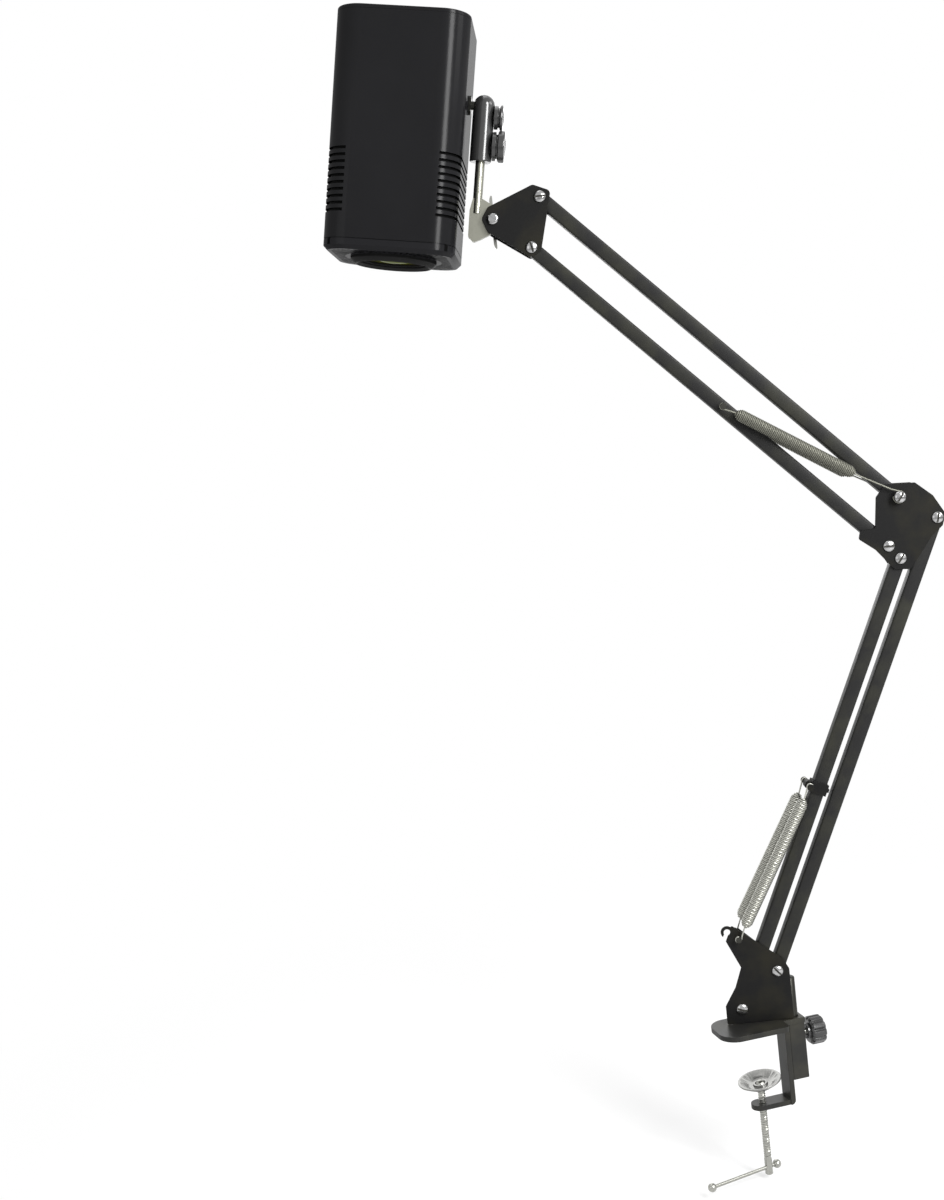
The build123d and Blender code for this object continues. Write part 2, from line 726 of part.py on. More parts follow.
def housing_shell():
    shell = body_block(0, BODY_BOTTOM, BODY_TOP - TOP_THICK)
    shell -= body_block(WALL, BODY_BOTTOM - 1, BODY_TOP)
    reach = BODY_WIDTH / 2 - SLOT_START + 1
    for n in range(SLOT_COUNT):
        z = SLOT_TOP - n * SLOT_PITCH
        band = body_block(-1, z - SLOT_HEIGHT, z) - body_block(WALL + 1, z - SLOT_HEIGHT - 1, z + 1)
        for side in (-1, 1):
            middle = side * (SLOT_START + reach / 2)
            shell -= band & Pos(middle, 0, z) * Box(reach, BODY_WIDTH + 4, 4 * SLOT_HEIGHT)
    shell -= rod_x(STUD_RADIUS + 3.0, BODY_WIDTH / 2 - 6, BODY_WIDTH / 2 + 1, HEAD_TALL)
    inlet = Pos(0, BODY_WIDTH / 2 + 1, BODY_BOTTOM + INLET_HEIGHT) * Rot(90, 0, 0)
    shell -= inlet * extrude(Circle(INLET_OUTER + RUNNING), WALL + 2)
    return BODY * shell


def top_cover():
    cover = body_block(0, BODY_TOP - TOP_THICK, BODY_TOP)
    cover = chamfer(cover.faces().sort_by(Axis.Z)[-1].edges(), 0.6)
    lip = body_block(WALL + 0.1, BODY_TOP - TOP_THICK - 3, BODY_TOP - TOP_THICK)
    lip -= body_block(WALL + 2.0, BODY_TOP - TOP_THICK - 4, BODY_TOP)
    cover = cover + lip
    cover -= Pos(0, BUTTON_BACK, 0) * rod_z(BUTTON_RADIUS + APART, BODY_TOP - TOP_THICK - 1, BODY_TOP + 1)
    return BODY * cover


def dust_screen():
    """The fine screen behind the slots, shown as a plain sheet, with room for the engine's shelf."""
    low = SLOT_TOP - SLOT_COUNT * SLOT_PITCH - SCREEN_LAP
    high = SLOT_TOP + SCREEN_LAP
    outside = WALL + RUNNING
    screen = body_block(outside, low, high) - body_block(outside + SCREEN_THICK, low - 1, high + 1)
    shelf = Pos(0, 0, BODY_BOTTOM + ENGINE_HEIGHT + SHELF_THICK / 2)
    screen -= shelf * Box(BODY_WIDTH, SHELF_ACROSS + 2, SHELF_THICK + 1)
    inlet = Pos(0, BODY_WIDTH / 2, BODY_BOTTOM + INLET_HEIGHT) * Rot(90, 0, 0)
    screen -= inlet * extrude(Circle(INLET_OUTER + 2.0 + APART), 3 * WALL)
    return BODY * screen


def power_button():
    button = rod_z(BUTTON_RADIUS, BODY_TOP - TOP_THICK - 0.5, BODY_TOP + 1.0)
    button = chamfer(button.edges().filter_by(GeomType.CIRCLE).sort_by(Axis.Z)[-1], 0.5)
    flange = rod_z(BUTTON_RADIUS + 1.2, BODY_TOP - TOP_THICK - 2.0, BODY_TOP - TOP_THICK - 0.3)
    return BODY * Pos(0, BUTTON_BACK, 0) * (button + flange)


def mount_insert():
    """The threaded brass boss in the body's side that takes the ball's stud."""
    right = BODY_WIDTH / 2
    boss = rod_x(STUD_RADIUS + 3.0 - 0.05, right - 11, right, HEAD_TALL)
    flange = rod_x(STUD_RADIUS + 6.0, right - 8, right - WALL, HEAD_TALL)
    bore = rod_x(STUD_RADIUS + RUNNING, right - 9, right + 1, HEAD_TALL)
    return BODY * (boss + flange - bore)


RIM_LOW = BODY_BOTTOM - RIM_HEIGHT


def vent_rim():
    """The bottom ring: a chamfered rim, then slits that point at the lens."""
    rim = body_block(0, RIM_LOW, BODY_BOTTOM - 0.6)
    rim += body_block(0.8, BODY_BOTTOM - 0.6, BODY_BOTTOM)
    rim = chamfer(rim.faces().sort_by(Axis.Z)[0].edges(), RIM_CHAMFER)
    rim -= rod_z(LENS_RADIUS + APART, RIM_LOW - 1, BODY_BOTTOM + 1)
    collar = rod_z(LENS_RADIUS + 2.3, RIM_LOW, BODY_BOTTOM + 2)
    rim -= body_block(WALL, RIM_LOW + 2.0, BODY_BOTTOM + 1) - collar
    edge = body_sketch(SLIT_INSET).wire()
    near = LENS_RADIUS + SLIT_INNER
    for n in range(SLIT_COUNT):
        far = edge.position_at(n / SLIT_COUNT)
        long = math.hypot(far.X, far.Y) - near
        slit = Pos(near + long / 2, 0, RIM_LOW + 1) * Box(long, SLIT_WIDTH, 4)
        rim -= Rot(0, 0, math.degrees(math.atan2(far.Y, far.X))) * slit
    return BODY * rim


def focus_ring():
    """The ring round the lens that turns to focus."""
    low = RIM_LOW - FOCUS_DROP
    outline = Polyline(
        (BARREL_RADIUS + APART, low + 2.0),
        (LENS_RADIUS - FOCUS_TAPER - 1.5, low),
        (LENS_RADIUS - FOCUS_TAPER, low + 0.8),
        (LENS_RADIUS, RIM_LOW - 2.0),
        (LENS_RADIUS, BODY_BOTTOM + APART),
        (LENS_RADIUS + 3.0, BODY_BOTTOM + APART),
        (LENS_RADIUS + 3.0, BODY_BOTTOM + 3.0),
        (BARREL_RADIUS + APART, BODY_BOTTOM + 3.0),
        close=True,
    )
    return BODY * revolve(Plane.XZ * make_face(outline), Axis.Z)


def lens_barrel():
    low = RIM_LOW - FOCUS_DROP + 3.0
    tube = rod_z(BARREL_RADIUS, low, BODY_BOTTOM + ENGINE_HEIGHT - 2 * BARREL_TRAVEL)
    tube -= rod_z(GLASS_RADIUS + RUNNING, low - 1, low + 7)
    tube -= rod_z(GLASS_RADIUS - 3, low - 1, BODY_BOTTOM + 30)
    return BODY * tube


def lens_glass():
    low = RIM_LOW - FOCUS_DROP + 4.5
    glass = rod_z(GLASS_RADIUS, low, low + 5.5)
    dome = Pos(0, 0, low + 58.0) * Sphere(60.0) & rod_z(GLASS_RADIUS, low - 2.2, low + 0.1)
    return BODY * (glass + dome)


def engine_block():
    """The light engine: it fills the middle of the body and carries the lens."""
    low = BODY_BOTTOM + ENGINE_HEIGHT
    block = Pos(0, 0, low + 27) * Box(66, 60, 54)
    block = fillet(block.edges().filter_by(Axis.Z), 4)
    window = rod_z(GLASS_RADIUS - 3, low - 1, low + 8)
    sleeve = rod_z(BARREL_RADIUS + 3.5, BODY_BOTTOM + 6, low)
    sleeve -= rod_z(BARREL_RADIUS + RUNNING, BODY_BOTTOM, low)
    wide = BODY_WIDTH - 2 * WALL - 2 * APART
    shelf = Pos(0, 0, low + SHELF_THICK / 2) * Box(wide, SHELF_ACROSS, SHELF_THICK)
    return BODY * (block + shelf + sleeve - window)


def heat_sink():
    low = BODY_BOTTOM + 80.2
    sink = Pos(0, 0, low + 2) * Box(64, 58, 4)
    for n in range(9):
        sink += Pos(-28 + 7 * n, 0, low + 14) * Box(1.6, 58, 20)
    return BODY * sink


def fan_frame():
    low = BODY_BOTTOM + 104.4
    frame = Pos(0, 0, low + 7.5) * Box(70, 70, 15)
    frame = fillet(frame.edges().filter_by(Axis.Z), 4)
    frame -= rod_z(32.5, low - 1, low + 16)
    spokes = Pos(0, 0, low + 1) * (Box(66, 4, 2) + Box(4, 66, 2) + Cylinder(14, 2))
    axle = rod_z(2.0, low + 1, low + 10)
    return BODY * (frame + spokes + axle)


def fan_rotor():
    low = BODY_BOTTOM + 104.4 + 2.6
    hub = rod_z(13.0, low, low + 11) - rod_z(2.0 + RUNNING, low - 1, low + 8)
    rotor = hub
    for n in range(7):
        blade = Pos(21.5, 0, low + 5.5) * Rot(35, 0, 0) * Box(19, 9, 1.4)
        rotor += Rot(0, 0, 360.0 * n / 7) * blade
    return BODY * rotor


def control_board():
    """The circuit board on the light engine's back."""
    board = Pos(0, 31.1, BODY_BOTTOM + 54) * Box(56, 1.6, 44)
    chip = Pos(0, 33.2, BODY_BOTTOM + 60) * Box(14, 2.6, 14)
    return BODY * (board + chip)


def power_inlet():
    """The barrel inlet in the rear wall, open to the back."""
    back = Pos(0, BODY_WIDTH / 2, BODY_BOTTOM + INLET_HEIGHT) * Rot(90, 0, 0)
    tube = extrude(Circle(INLET_OUTER), INLET_DEPTH + 2)
    flange = Pos(0, 0, WALL) * extrude(Circle(INLET_OUTER + 2), 2)
    bore = extrude(Circle(INLET_BORE), INLET_DEPTH)
    return BODY * back * (tube + flange - bore)


# Write every piece

save("clamp_frame", clamp_frame())
save("swivel_socket", swivel_socket())
save("socket_lock_knob", lock_knob())
save("socket_lock_screw", lock_screw())
save("clamp_screw", clamp_screw())
save("pad_ball", pad_ball())
save("clamp_pad", clamp_pad())
save("tommy_bar", tommy_bar())
save("tommy_knobs", tommy_knobs())

wide_pins = [(BASE_LEFT, PIN_RADIUS), (BASE_RIGHT, PIN_RADIUS), (HOOK, SPRING_PIN_RADIUS)]
front, rear = plate_pair(base_outline(), base_rear_outline(), INSIDE, wide_pins)
save("base_plate_front", front)
save("base_plate_rear", rear)
save("base_web", base_web())
save("swivel_post", swivel_post())
save("base_pivot_screws", group([screw_y(p, INSIDE) for p in (BASE_LEFT, BASE_RIGHT)]))
save("base_pivot_nuts", group([nut_y(p, INSIDE) for p in (BASE_LEFT, BASE_RIGHT)]))
save("lower_spring_anchor", anchor_stubs())

save("lower_main_tube", tube_between(BASE_LEFT, ELBOW_LEFT))
save("lower_follow_tube", tube_between(BASE_RIGHT, ELBOW_RIGHT))
save("lower_spring_clip", strap_clip())
front, rear = spring_pair(HOOK, LOWER_PIN, SPRING_PIN_RADIUS, HOOK_RUN, "lower springs")
save("lower_spring_front", front)
save("lower_spring_rear", rear)

elbow_points = (ELBOW_LEFT, ELBOW_RIGHT, UPPER_LOW, UPPER_HIGH)
elbow_holes = [(p, PIN_RADIUS) for p in elbow_points]
front, rear = plate_pair(elbow_outline(0.0), elbow_outline(REAR_TRIM), INSIDE, elbow_holes)
save("elbow_plate_front", front)
save("elbow_plate_rear", rear)
seats = [(p, INSIDE) for p in elbow_points[:3]] + [(UPPER_HIGH, STUB_END + APART - PLATE)]
save("elbow_pivot_screws", group([screw_y(p, inside) for p, inside in seats]))
save("elbow_pivot_nuts", group([nut_y(p, inside) for p, inside in seats]))
save("upper_spring_bushes", group(spacers_y(UPPER_HIGH)))

save("upper_main_tube", tube_between(UPPER_LOW, HEAD_LOW, UPPER_PIN))
save("upper_follow_tube", tube_between(UPPER_HIGH, HEAD_HIGH))
save("upper_spring_clip", clip_pin(UPPER_PIN))
front, rear = spring_pair(UPPER_HIGH, UPPER_PIN, BUSH_RADIUS, PLAIN_RUN, "upper springs")
save("upper_spring_front", front)
save("upper_spring_rear", rear)

head_points = (HEAD_LOW, HEAD_HIGH)
head_holes = [(p, PIN_RADIUS) for p in (HEAD_LOW, HEAD_HIGH, TILT)]
front, rear = plate_pair(head_outline(), head_outline(), INSIDE, head_holes)
save("head_plate_front", front)
save("head_plate_rear", rear)
save("head_pivot_screws", group([screw_y(p, INSIDE) for p in head_points]))
save("head_pivot_nuts", group([nut_y(p, INSIDE) for p in head_points]))
save("tilt_screw", ARM * screw_y(TILT, INSIDE, 4.0))
save("tilt_wing_nut", wing_nut())
save("mount_rod", mount_rod())
save("tilt_washers", tilt_washers())

save("head_housing", head_housing())
save("head_ball", head_ball())
save("head_lower_knob", head_knob(KNOB_RADIUS_LOW, KNOB_REACH_LOW, KNOB_HEIGHT_LOW))
save("head_upper_knob", head_knob(KNOB_RADIUS_HIGH, KNOB_REACH_HIGH, KNOB_HEIGHT_HIGH))

save("housing_shell", housing_shell())
save("top_cover", top_cover())
save("dust_screen", dust_screen())
save("power_button", power_button())
save("mount_insert", mount_insert())
save("vent_rim", vent_rim())
save("focus_ring", focus_ring())
save("lens_barrel", lens_barrel())
save("lens_glass", lens_glass())
save("light_engine", engine_block())
save("heat_sink", heat_sink())
save("fan_frame", fan_frame())
save("fan_rotor", fan_rotor())
save("control_board", control_board())
save("power_inlet", power_inlet())
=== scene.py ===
import json
import math

import bmesh
import bpy
from mathutils import Matrix, Vector


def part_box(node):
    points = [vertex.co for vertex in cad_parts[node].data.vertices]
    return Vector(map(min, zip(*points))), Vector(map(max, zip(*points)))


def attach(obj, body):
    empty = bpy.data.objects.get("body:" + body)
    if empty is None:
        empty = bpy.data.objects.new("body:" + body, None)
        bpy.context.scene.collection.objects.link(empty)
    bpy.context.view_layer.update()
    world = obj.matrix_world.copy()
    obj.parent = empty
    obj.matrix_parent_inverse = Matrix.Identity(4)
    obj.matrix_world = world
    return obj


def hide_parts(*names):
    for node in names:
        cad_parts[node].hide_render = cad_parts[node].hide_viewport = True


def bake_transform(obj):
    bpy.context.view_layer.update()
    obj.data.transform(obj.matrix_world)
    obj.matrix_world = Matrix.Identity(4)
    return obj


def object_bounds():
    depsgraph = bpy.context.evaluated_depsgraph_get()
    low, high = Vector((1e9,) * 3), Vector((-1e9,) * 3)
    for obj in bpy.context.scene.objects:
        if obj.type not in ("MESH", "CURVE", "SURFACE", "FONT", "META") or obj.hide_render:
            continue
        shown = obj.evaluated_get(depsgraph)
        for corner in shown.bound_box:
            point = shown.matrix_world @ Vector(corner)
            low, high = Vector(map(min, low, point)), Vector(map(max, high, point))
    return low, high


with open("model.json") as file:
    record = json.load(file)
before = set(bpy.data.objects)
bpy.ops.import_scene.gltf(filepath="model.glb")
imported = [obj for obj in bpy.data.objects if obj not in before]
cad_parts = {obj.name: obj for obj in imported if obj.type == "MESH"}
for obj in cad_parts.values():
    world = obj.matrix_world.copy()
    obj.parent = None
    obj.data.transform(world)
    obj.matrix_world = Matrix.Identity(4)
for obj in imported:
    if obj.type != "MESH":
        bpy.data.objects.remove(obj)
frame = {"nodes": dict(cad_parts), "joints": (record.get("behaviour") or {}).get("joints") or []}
cad_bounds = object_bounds()

# Desk clamp: one steel strip bent into a C, with a square socket tube welded behind its spine.
# Both have a satin black powder coat, which looks a little brown where it is thin.
MM = 0.001
MIX_A, MIX_B, MIX_RESULT = 6, 7, 2
CLAMP_COAT = (0.014, 0.014, 0.013)
CLAMP_COAT_THIN = (0.026, 0.025, 0.019)
PEEL_SWING = 0.22
PATCH_SWING = 0.16
PATCH_SCALE = 45.0
MERGE_WITHIN = 0.001 * MM
FLAT_WITHIN = math.radians(0.4)
CREASE = math.radians(32.0)
ROUNDING_STEPS = 3
CLAMP_EDGE = 0.7 * MM
SOCKET_EDGE = 0.9 * MM


class Socket:
    """One output of a node. Arithmetic on it adds Math nodes to the same tree."""

    def __init__(self, nodes, out):
        self.nodes = nodes
        self.out = out

    def also(self, name):
        return Socket(self.nodes, self.out.node.outputs[name])

    def math(self, operation, *values):
        inputs = dict(enumerate((self, *values)))
        return self.nodes.add("ShaderNodeMath", {"operation": operation}, inputs)

    def __add__(self, other):
        return self.math("ADD", other)

    def __sub__(self, other):
        return self.math("SUBTRACT", other)

    def __mul__(self, other):
        return self.math("MULTIPLY", other)

    def __truediv__(self, other):
        return self.math("DIVIDE", other)

    def __rsub__(self, other):
        return self.nodes.add("ShaderNodeMath", {"operation": "SUBTRACT"}, {0: other, 1: self})

    __radd__ = __add__
    __rmul__ = __mul__

    def mixed(self, colour, other):
        """Goes from one colour to the other as this value goes from 0 to 1."""
        inputs = {0: self, MIX_A: colour, MIX_B: other}
        return self.nodes.add("ShaderNodeMix", {"data_type": "RGBA"}, inputs, MIX_RESULT)


class Nodes:
    """A node tree that is being filled."""

    def __init__(self, tree):
        self.tree = tree
        tree.nodes.clear()

    def add(self, kind, settings=None, inputs=None, output=0):
        """Makes one node: its settings first, then the values or links of its sockets."""
        node = self.tree.nodes.new(kind)
        for name, value in (settings or {}).items():
            if name == "stops":
                ramp = node.color_ramp
                for element, stop in zip(ramp.elements, value):
                    element.position, shade = stop
                    element.color = (shade, shade, shade, 1.0)
            else:
                setattr(node, name, value)
        for name, value in (inputs or {}).items():
            if isinstance(value, Socket):
                self.tree.links.new(value.out, node.inputs[name])
            else:
                node.inputs[name].default_value = value
        return Socket(self, node.outputs[output]) if node.outputs else None


def solid(colour):
    return (*colour, 1.0)


def bare_material(name):
    """A new material, its emptied nodes, and a piece's own coordinates to start from."""
    material = bpy.data.materials.new(name)
    material.use_nodes = True
    nodes = Nodes(material.node_tree)
    return material, nodes, nodes.add("ShaderNodeTexCoord", output="Object")


def finished(material, nodes, sockets):
    """Ends a material in one shader with these values and links."""
    shader = nodes.add("ShaderNodeBsdfPrincipled", None, sockets)
    nodes.add("ShaderNodeOutputMaterial", None, {"Surface": shader})
    return material


def powder_coat(name, colour, thin, roughness=0.42, grain=0.45 * MM, shine=0.22, depth=0.02 * MM):
    """Baked powder: a fine orange peel, and broad patches where the coat is thinner."""
    material, nodes, place = bare_material(name)
    peel = nodes.add("ShaderNodeTexNoise", None, {"Vector": place, "Scale": 1 / grain, "Detail": 3.0})
    patch = nodes.add("ShaderNodeTexNoise", None, {"Vector": place, "Scale": PATCH_SCALE, "Detail": 4.0})
    spread = nodes.add("ShaderNodeValToRGB", {"stops": [(0.42, 0.0), (0.68, 1.0)]}, {"Fac": patch})
    bump = nodes.add("ShaderNodeBump", None, {"Height": peel, "Strength": 0.35, "Distance": depth})
    return finished(material, nodes, {
        "Base Color": spread.mixed(solid(colour), solid(thin)),
        "Roughness": roughness + (peel - 0.5) * PEEL_SWING + (patch - 0.5) * PATCH_SWING,
        "Specular IOR Level": shine,
        "Normal": bump,
    })


def cad_copy(node, whole=True):
    """A copy of a node's triangles, merged, with its flat faces whole again unless told not to."""
    shape = bmesh.new()
    shape.from_mesh(frame["nodes"][node].data)
    bmesh.ops.remove_doubles(shape, verts=shape.verts, dist=MERGE_WITHIN)
    if whole:
        bmesh.ops.dissolve_limit(shape, angle_limit=FLAT_WITHIN, verts=shape.verts, edges=shape.edges)
    return shape


def as_mesh(name, shape):
    """A mesh of a shape that is no longer needed."""
    mesh = bpy.data.meshes.new(name)
    shape.to_mesh(mesh)
    shape.free()
    return mesh


def in_scene(name, data):
    """A new object at the origin of the scene."""
    item = bpy.data.objects.new(name, data)
    bpy.context.scene.collection.objects.link(item)
    return item


def baked(piece):
    """Turns what the piece's modifiers make into its plain mesh."""
    seen = piece.evaluated_get(bpy.context.evaluated_depsgraph_get())
    mesh = bpy.data.meshes.new_from_object(seen)
    piece.modifiers.clear()
    piece.data = mesh


def put_together(name, shape, material, body, nodes=(), edge=0.0, sunk=None):
    """Makes the piece from its shape, rounds its edges, and fixes it to its body."""
    piece = in_scene(name, as_mesh(name, shape) if isinstance(shape, bmesh.types.BMesh) else shape)
    if edge:
        bevel = piece.modifiers.new("rounding", "BEVEL")
        bevel.width = edge
        bevel.segments = ROUNDING_STEPS
        bevel.limit_method = "ANGLE"
        bevel.angle_limit = CREASE
        baked(piece)
    mesh = piece.data
    mesh.materials.clear()
    mesh.materials.append(material)
    mesh.polygons.foreach_set("use_smooth", [True] * len(mesh.polygons))
    mesh.set_sharp_from_angle(angle=CREASE)
    if edge:
        piece.modifiers.new("flats", "WEIGHTED_NORMAL").keep_sharp = True
        baked(piece)
    # Faces marked sunk take a second material, the painted shade of slots.
    if sunk:
        piece.data.materials.append(sunk)
        marks = piece.data.attributes["sunk"].data
        piece.data.polygons.foreach_set("material_index", [int(m.value > 0.5) for m in marks])
    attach(piece, body)
    if nodes:
        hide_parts(*nodes)
    return piece


def from_cad(name, node, material, body, edge=0.0):
    """The piece that stands for one node of the part, and keeps its shape under its rounded edges."""
    return put_together(name, cad_copy(node), material, body, [node], edge)


clamp_coat = powder_coat("clamp_coat", CLAMP_COAT, CLAMP_COAT_THIN)
from_cad("desk_clamp", "clamp_frame", clamp_coat, "clamp", CLAMP_EDGE)
from_cad("post_socket", "swivel_socket", clamp_coat, "clamp", SOCKET_EDGE)

# Lock knob: a moulded black head with ten finger flutes on a zinc plated screw.
# It bears on the swivel post through the socket's side.
KNOB_FLUTES = 10
KNOB_FLUTE_DEPTH = 1.3 * MM
KNOB_BLACK = (0.010, 0.010, 0.010)
KNOB_STEM = 2.0 * MM
KNOB_LIP = 1.6 * MM
KNOB_EDGE = 0.25 * MM
FINE_EDGE = 0.2 * MM
FLUTE_SHARPNESS = 1.5
SIDES_PER_FLUTE = 16
ZINC = (0.40, 0.40, 0.37)
PLASTIC_GRAIN = 0.3 * MM
PLASTIC_DEPTH = 0.01 * MM
CLOUD_SCALE = 18.0
CLOUD_SWING = 0.10
CLOUD_PALER = 1.35
CLOUD_DUST = 0.002
SPARK_SWING = 0.12
LINE_DEPTH = 0.01 * MM
LINE_SWING = 0.16
DULL_SCALE = 120.0
DULL_SWING = 0.14


def moulded(name, colour, roughness, shine=0.3, coat=0.0, polish=0.12):
    """Moulded plastic: an even colour, faint clouding and a fine spark-eroded grain."""
    material, nodes, place = bare_material(name)
    spark = nodes.add("ShaderNodeTexNoise", None,
                      {"Vector": place, "Scale": 1 / PLASTIC_GRAIN, "Detail": 2.0})
    cloud = nodes.add("ShaderNodeTexNoise", None, {"Vector": place, "Scale": CLOUD_SCALE, "Detail": 3.0})
    paler = tuple(CLOUD_PALER * c + CLOUD_DUST for c in colour)
    bump = nodes.add("ShaderNodeBump", None,
                     {"Height": spark, "Strength": 0.4, "Distance": PLASTIC_DEPTH})
    return finished(material, nodes, {
        "Base Color": cloud.mixed(solid(colour), solid(paler)),
        "Roughness": roughness + (spark - 0.5) * SPARK_SWING + (cloud - 0.5) * CLOUD_SWING,
        "Specular IOR Level": shine,
        "Coat Weight": coat,
        "Coat Roughness": polish,
        "Normal": bump,
    })


def bright_metal(name, colour, roughness, stretch=(1.0, 1.0, 1.0), line=0.5 * MM, darker=0.72):
    """Plated or brushed metal: fine lines drawn out along one way, and dull patches."""
    material, nodes, place = bare_material(name)
    drawn = nodes.add("ShaderNodeMapping", None, {"Vector": place, "Scale": stretch})
    lines = nodes.add("ShaderNodeTexNoise", None, {"Vector": drawn, "Scale": 1 / line, "Detail": 3.0})
    dull = nodes.add("ShaderNodeTexNoise", None, {"Vector": place, "Scale": DULL_SCALE, "Detail": 3.0})
    shaded = tuple(darker * c for c in colour)
    bump = nodes.add("ShaderNodeBump", None, {"Height": lines, "Strength": 0.25, "Distance": LINE_DEPTH})
    return finished(material, nodes, {
        "Base Color": dull.mixed(solid(colour), solid(shaded)),
        "Metallic": 1.0,
        "Roughness": roughness + (lines - 0.5) * LINE_SWING + (dull - 0.5) * DULL_SWING,
        "Normal": bump,
    })


def skinned(shape, rings):
    """Closes a shape over its rings of points, with a flat face at each end."""
    count = len(rings[0])
    for low_ring, high_ring in zip(rings, rings[1:]):
        for n in range(count):
            m = (n + 1) % count
            shape.faces.new((low_ring[n], low_ring[m], high_ring[m], high_ring[n]))
    shape.faces.new(rings[0][::-1])
    shape.faces.new(rings[-1])
    bmesh.ops.recalc_face_normals(shape, faces=shape.faces)
    return shape


def turned(profile, place, sides, flutes=0, depth=0.0):
    """A closed turned shape. Each profile point is a radius, a height and its share of the flutes."""
    shape = bmesh.new()
    rings = []
    for radius, height, *share in profile:
        share = share[0] if share else 0.0
        ring = []
        for n in range(sides):
            angle = 2 * math.pi * n / sides
            dip = max(0.0, math.cos(flutes * angle)) ** FLUTE_SHARPNESS if flutes else 0.0
            reach = radius - depth * share * dip
            point = Vector((reach * math.cos(angle), reach * math.sin(angle), height))
            ring.append(shape.verts.new(place @ point))
        rings.append(ring)
    return skinned(shape, rings)


def axes_at(origin, across, along):
    """A frame whose z runs along one way and whose x lies as near as it can to another."""
    z = Vector(along).normalized()
    y = z.cross(Vector(across)).normalized()
    x = y.cross(z)
    place = Matrix((x, y, z)).transposed().to_4x4()
    place.translation = Vector(origin)
    return place


def knob_profile(radius, length, lip):
    """A knob's outline along its axis, with a rounded lip and a dished end."""
    stem = radius * 0.55
    return [
        (stem, -KNOB_STEM), (stem, 0.0), (radius - lip, 0.0, 0.6), (radius, lip, 1.0),
        (radius, length - lip, 1.0), (radius - 0.3 * lip, length - 0.35 * lip, 0.9),
        (radius - lip, length, 0.6), (radius * 0.62, length, 0.0), (stem, length - 0.5 * MM),
    ]


zinc = bright_metal("zinc_plate", ZINC, roughness=0.26)
knob_black = moulded("knob_black", KNOB_BLACK, roughness=0.26, coat=0.7, polish=0.08)
low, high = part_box("socket_lock_knob")
knob_radius = (high.z - low.z) / 2
knob_centre = (low.x + KNOB_STEM, (low.y + high.y) / 2, (low.z + high.z) / 2)
knob_place = axes_at(knob_centre, (0, 0, 1), (1, 0, 0))
knob_length = high.x - low.x - KNOB_STEM
knob = turned(knob_profile(knob_radius, knob_length, KNOB_LIP), knob_place,
              KNOB_FLUTES * SIDES_PER_FLUTE, KNOB_FLUTES, KNOB_FLUTE_DEPTH)
put_together("lock_knob", knob, knob_black, "lock_knob", ["socket_lock_knob"], KNOB_EDGE)
from_cad("lock_screw", "socket_lock_screw", zinc, "lock_knob", FINE_EDGE)

# Clamp screw: a zinc plated steel screw with a rolled 2 mm thread, and a plain end for its bar.
# The thread is one ridge wound round the core.
SCREW_RADIUS = 3.0 * MM
THREAD_PITCH = 2.0 * MM
THREAD_RIDGE = 0.5 * MM
PLAIN_END = 14.0 * MM
POINTS_PER_TURN = 20
TIP_INSET = 0.9 * MM
TIP_RISE = 0.8 * MM
THREAD_RUNOUT = 1.0 * MM
SCREW_SIDES = 48
SCREW_EDGE = 0.15 * MM
THREAD_SIDES = 6


def grown(name, base, inputs, grow, material):
    """Runs a geometry tree on a base mesh, and returns the plain mesh that it makes."""
    tree = bpy.data.node_groups.new(name, "GeometryNodeTree")
    tree.interface.new_socket(name="Geometry", in_out="INPUT", socket_type="NodeSocketGeometry")
    tree.interface.new_socket(name="Geometry", in_out="OUTPUT", socket_type="NodeSocketGeometry")
    kinds = {int: "NodeSocketInt", float: "NodeSocketFloat", bpy.types.Object: "NodeSocketObject"}
    sockets = {}
    for title, value in inputs.items():
        kind = kinds[type(value)]
        sockets[title] = tree.interface.new_socket(name=title, in_out="INPUT", socket_type=kind)
    nodes = Nodes(tree)
    made = grow(nodes, nodes.add("NodeGroupInput"))
    made = nodes.add("GeometryNodeRealizeInstances", None, {"Geometry": made})
    made = nodes.add("GeometryNodeSetMaterial", None, {"Geometry": made, "Material": material})
    nodes.add("NodeGroupOutput", None, {"Geometry": made})
    holder = in_scene(name, base)
    modifier = holder.modifiers.new(name, "NODES")
    modifier.node_group = tree
    for title, socket in sockets.items():
        modifier[socket.identifier] = inputs[title]
    baked(holder)
    mesh = holder.data
    bpy.data.objects.remove(holder)
    return mesh


def wire_through(name, points, radius, material, sides):
    """Round wire along a line of points, grown as a tube with closed ends."""
    line = bpy.data.meshes.new(name)
    line.from_pydata(points, [(n, n + 1) for n in range(len(points) - 1)], [])

    def grow(nodes, start):
        curve = nodes.add("GeometryNodeMeshToCurve", None, {"Mesh": start})
        ring = nodes.add("GeometryNodeCurvePrimitiveCircle", None,
                         {"Resolution": start.also("Sides"), "Radius": start.also("Wire radius")})
        return nodes.add("GeometryNodeCurveToMesh", None,
                         {"Curve": curve, "Profile Curve": ring, "Fill Caps": True})

    return grown(name, line, {"Wire radius": float(radius), "Sides": sides}, grow, material)


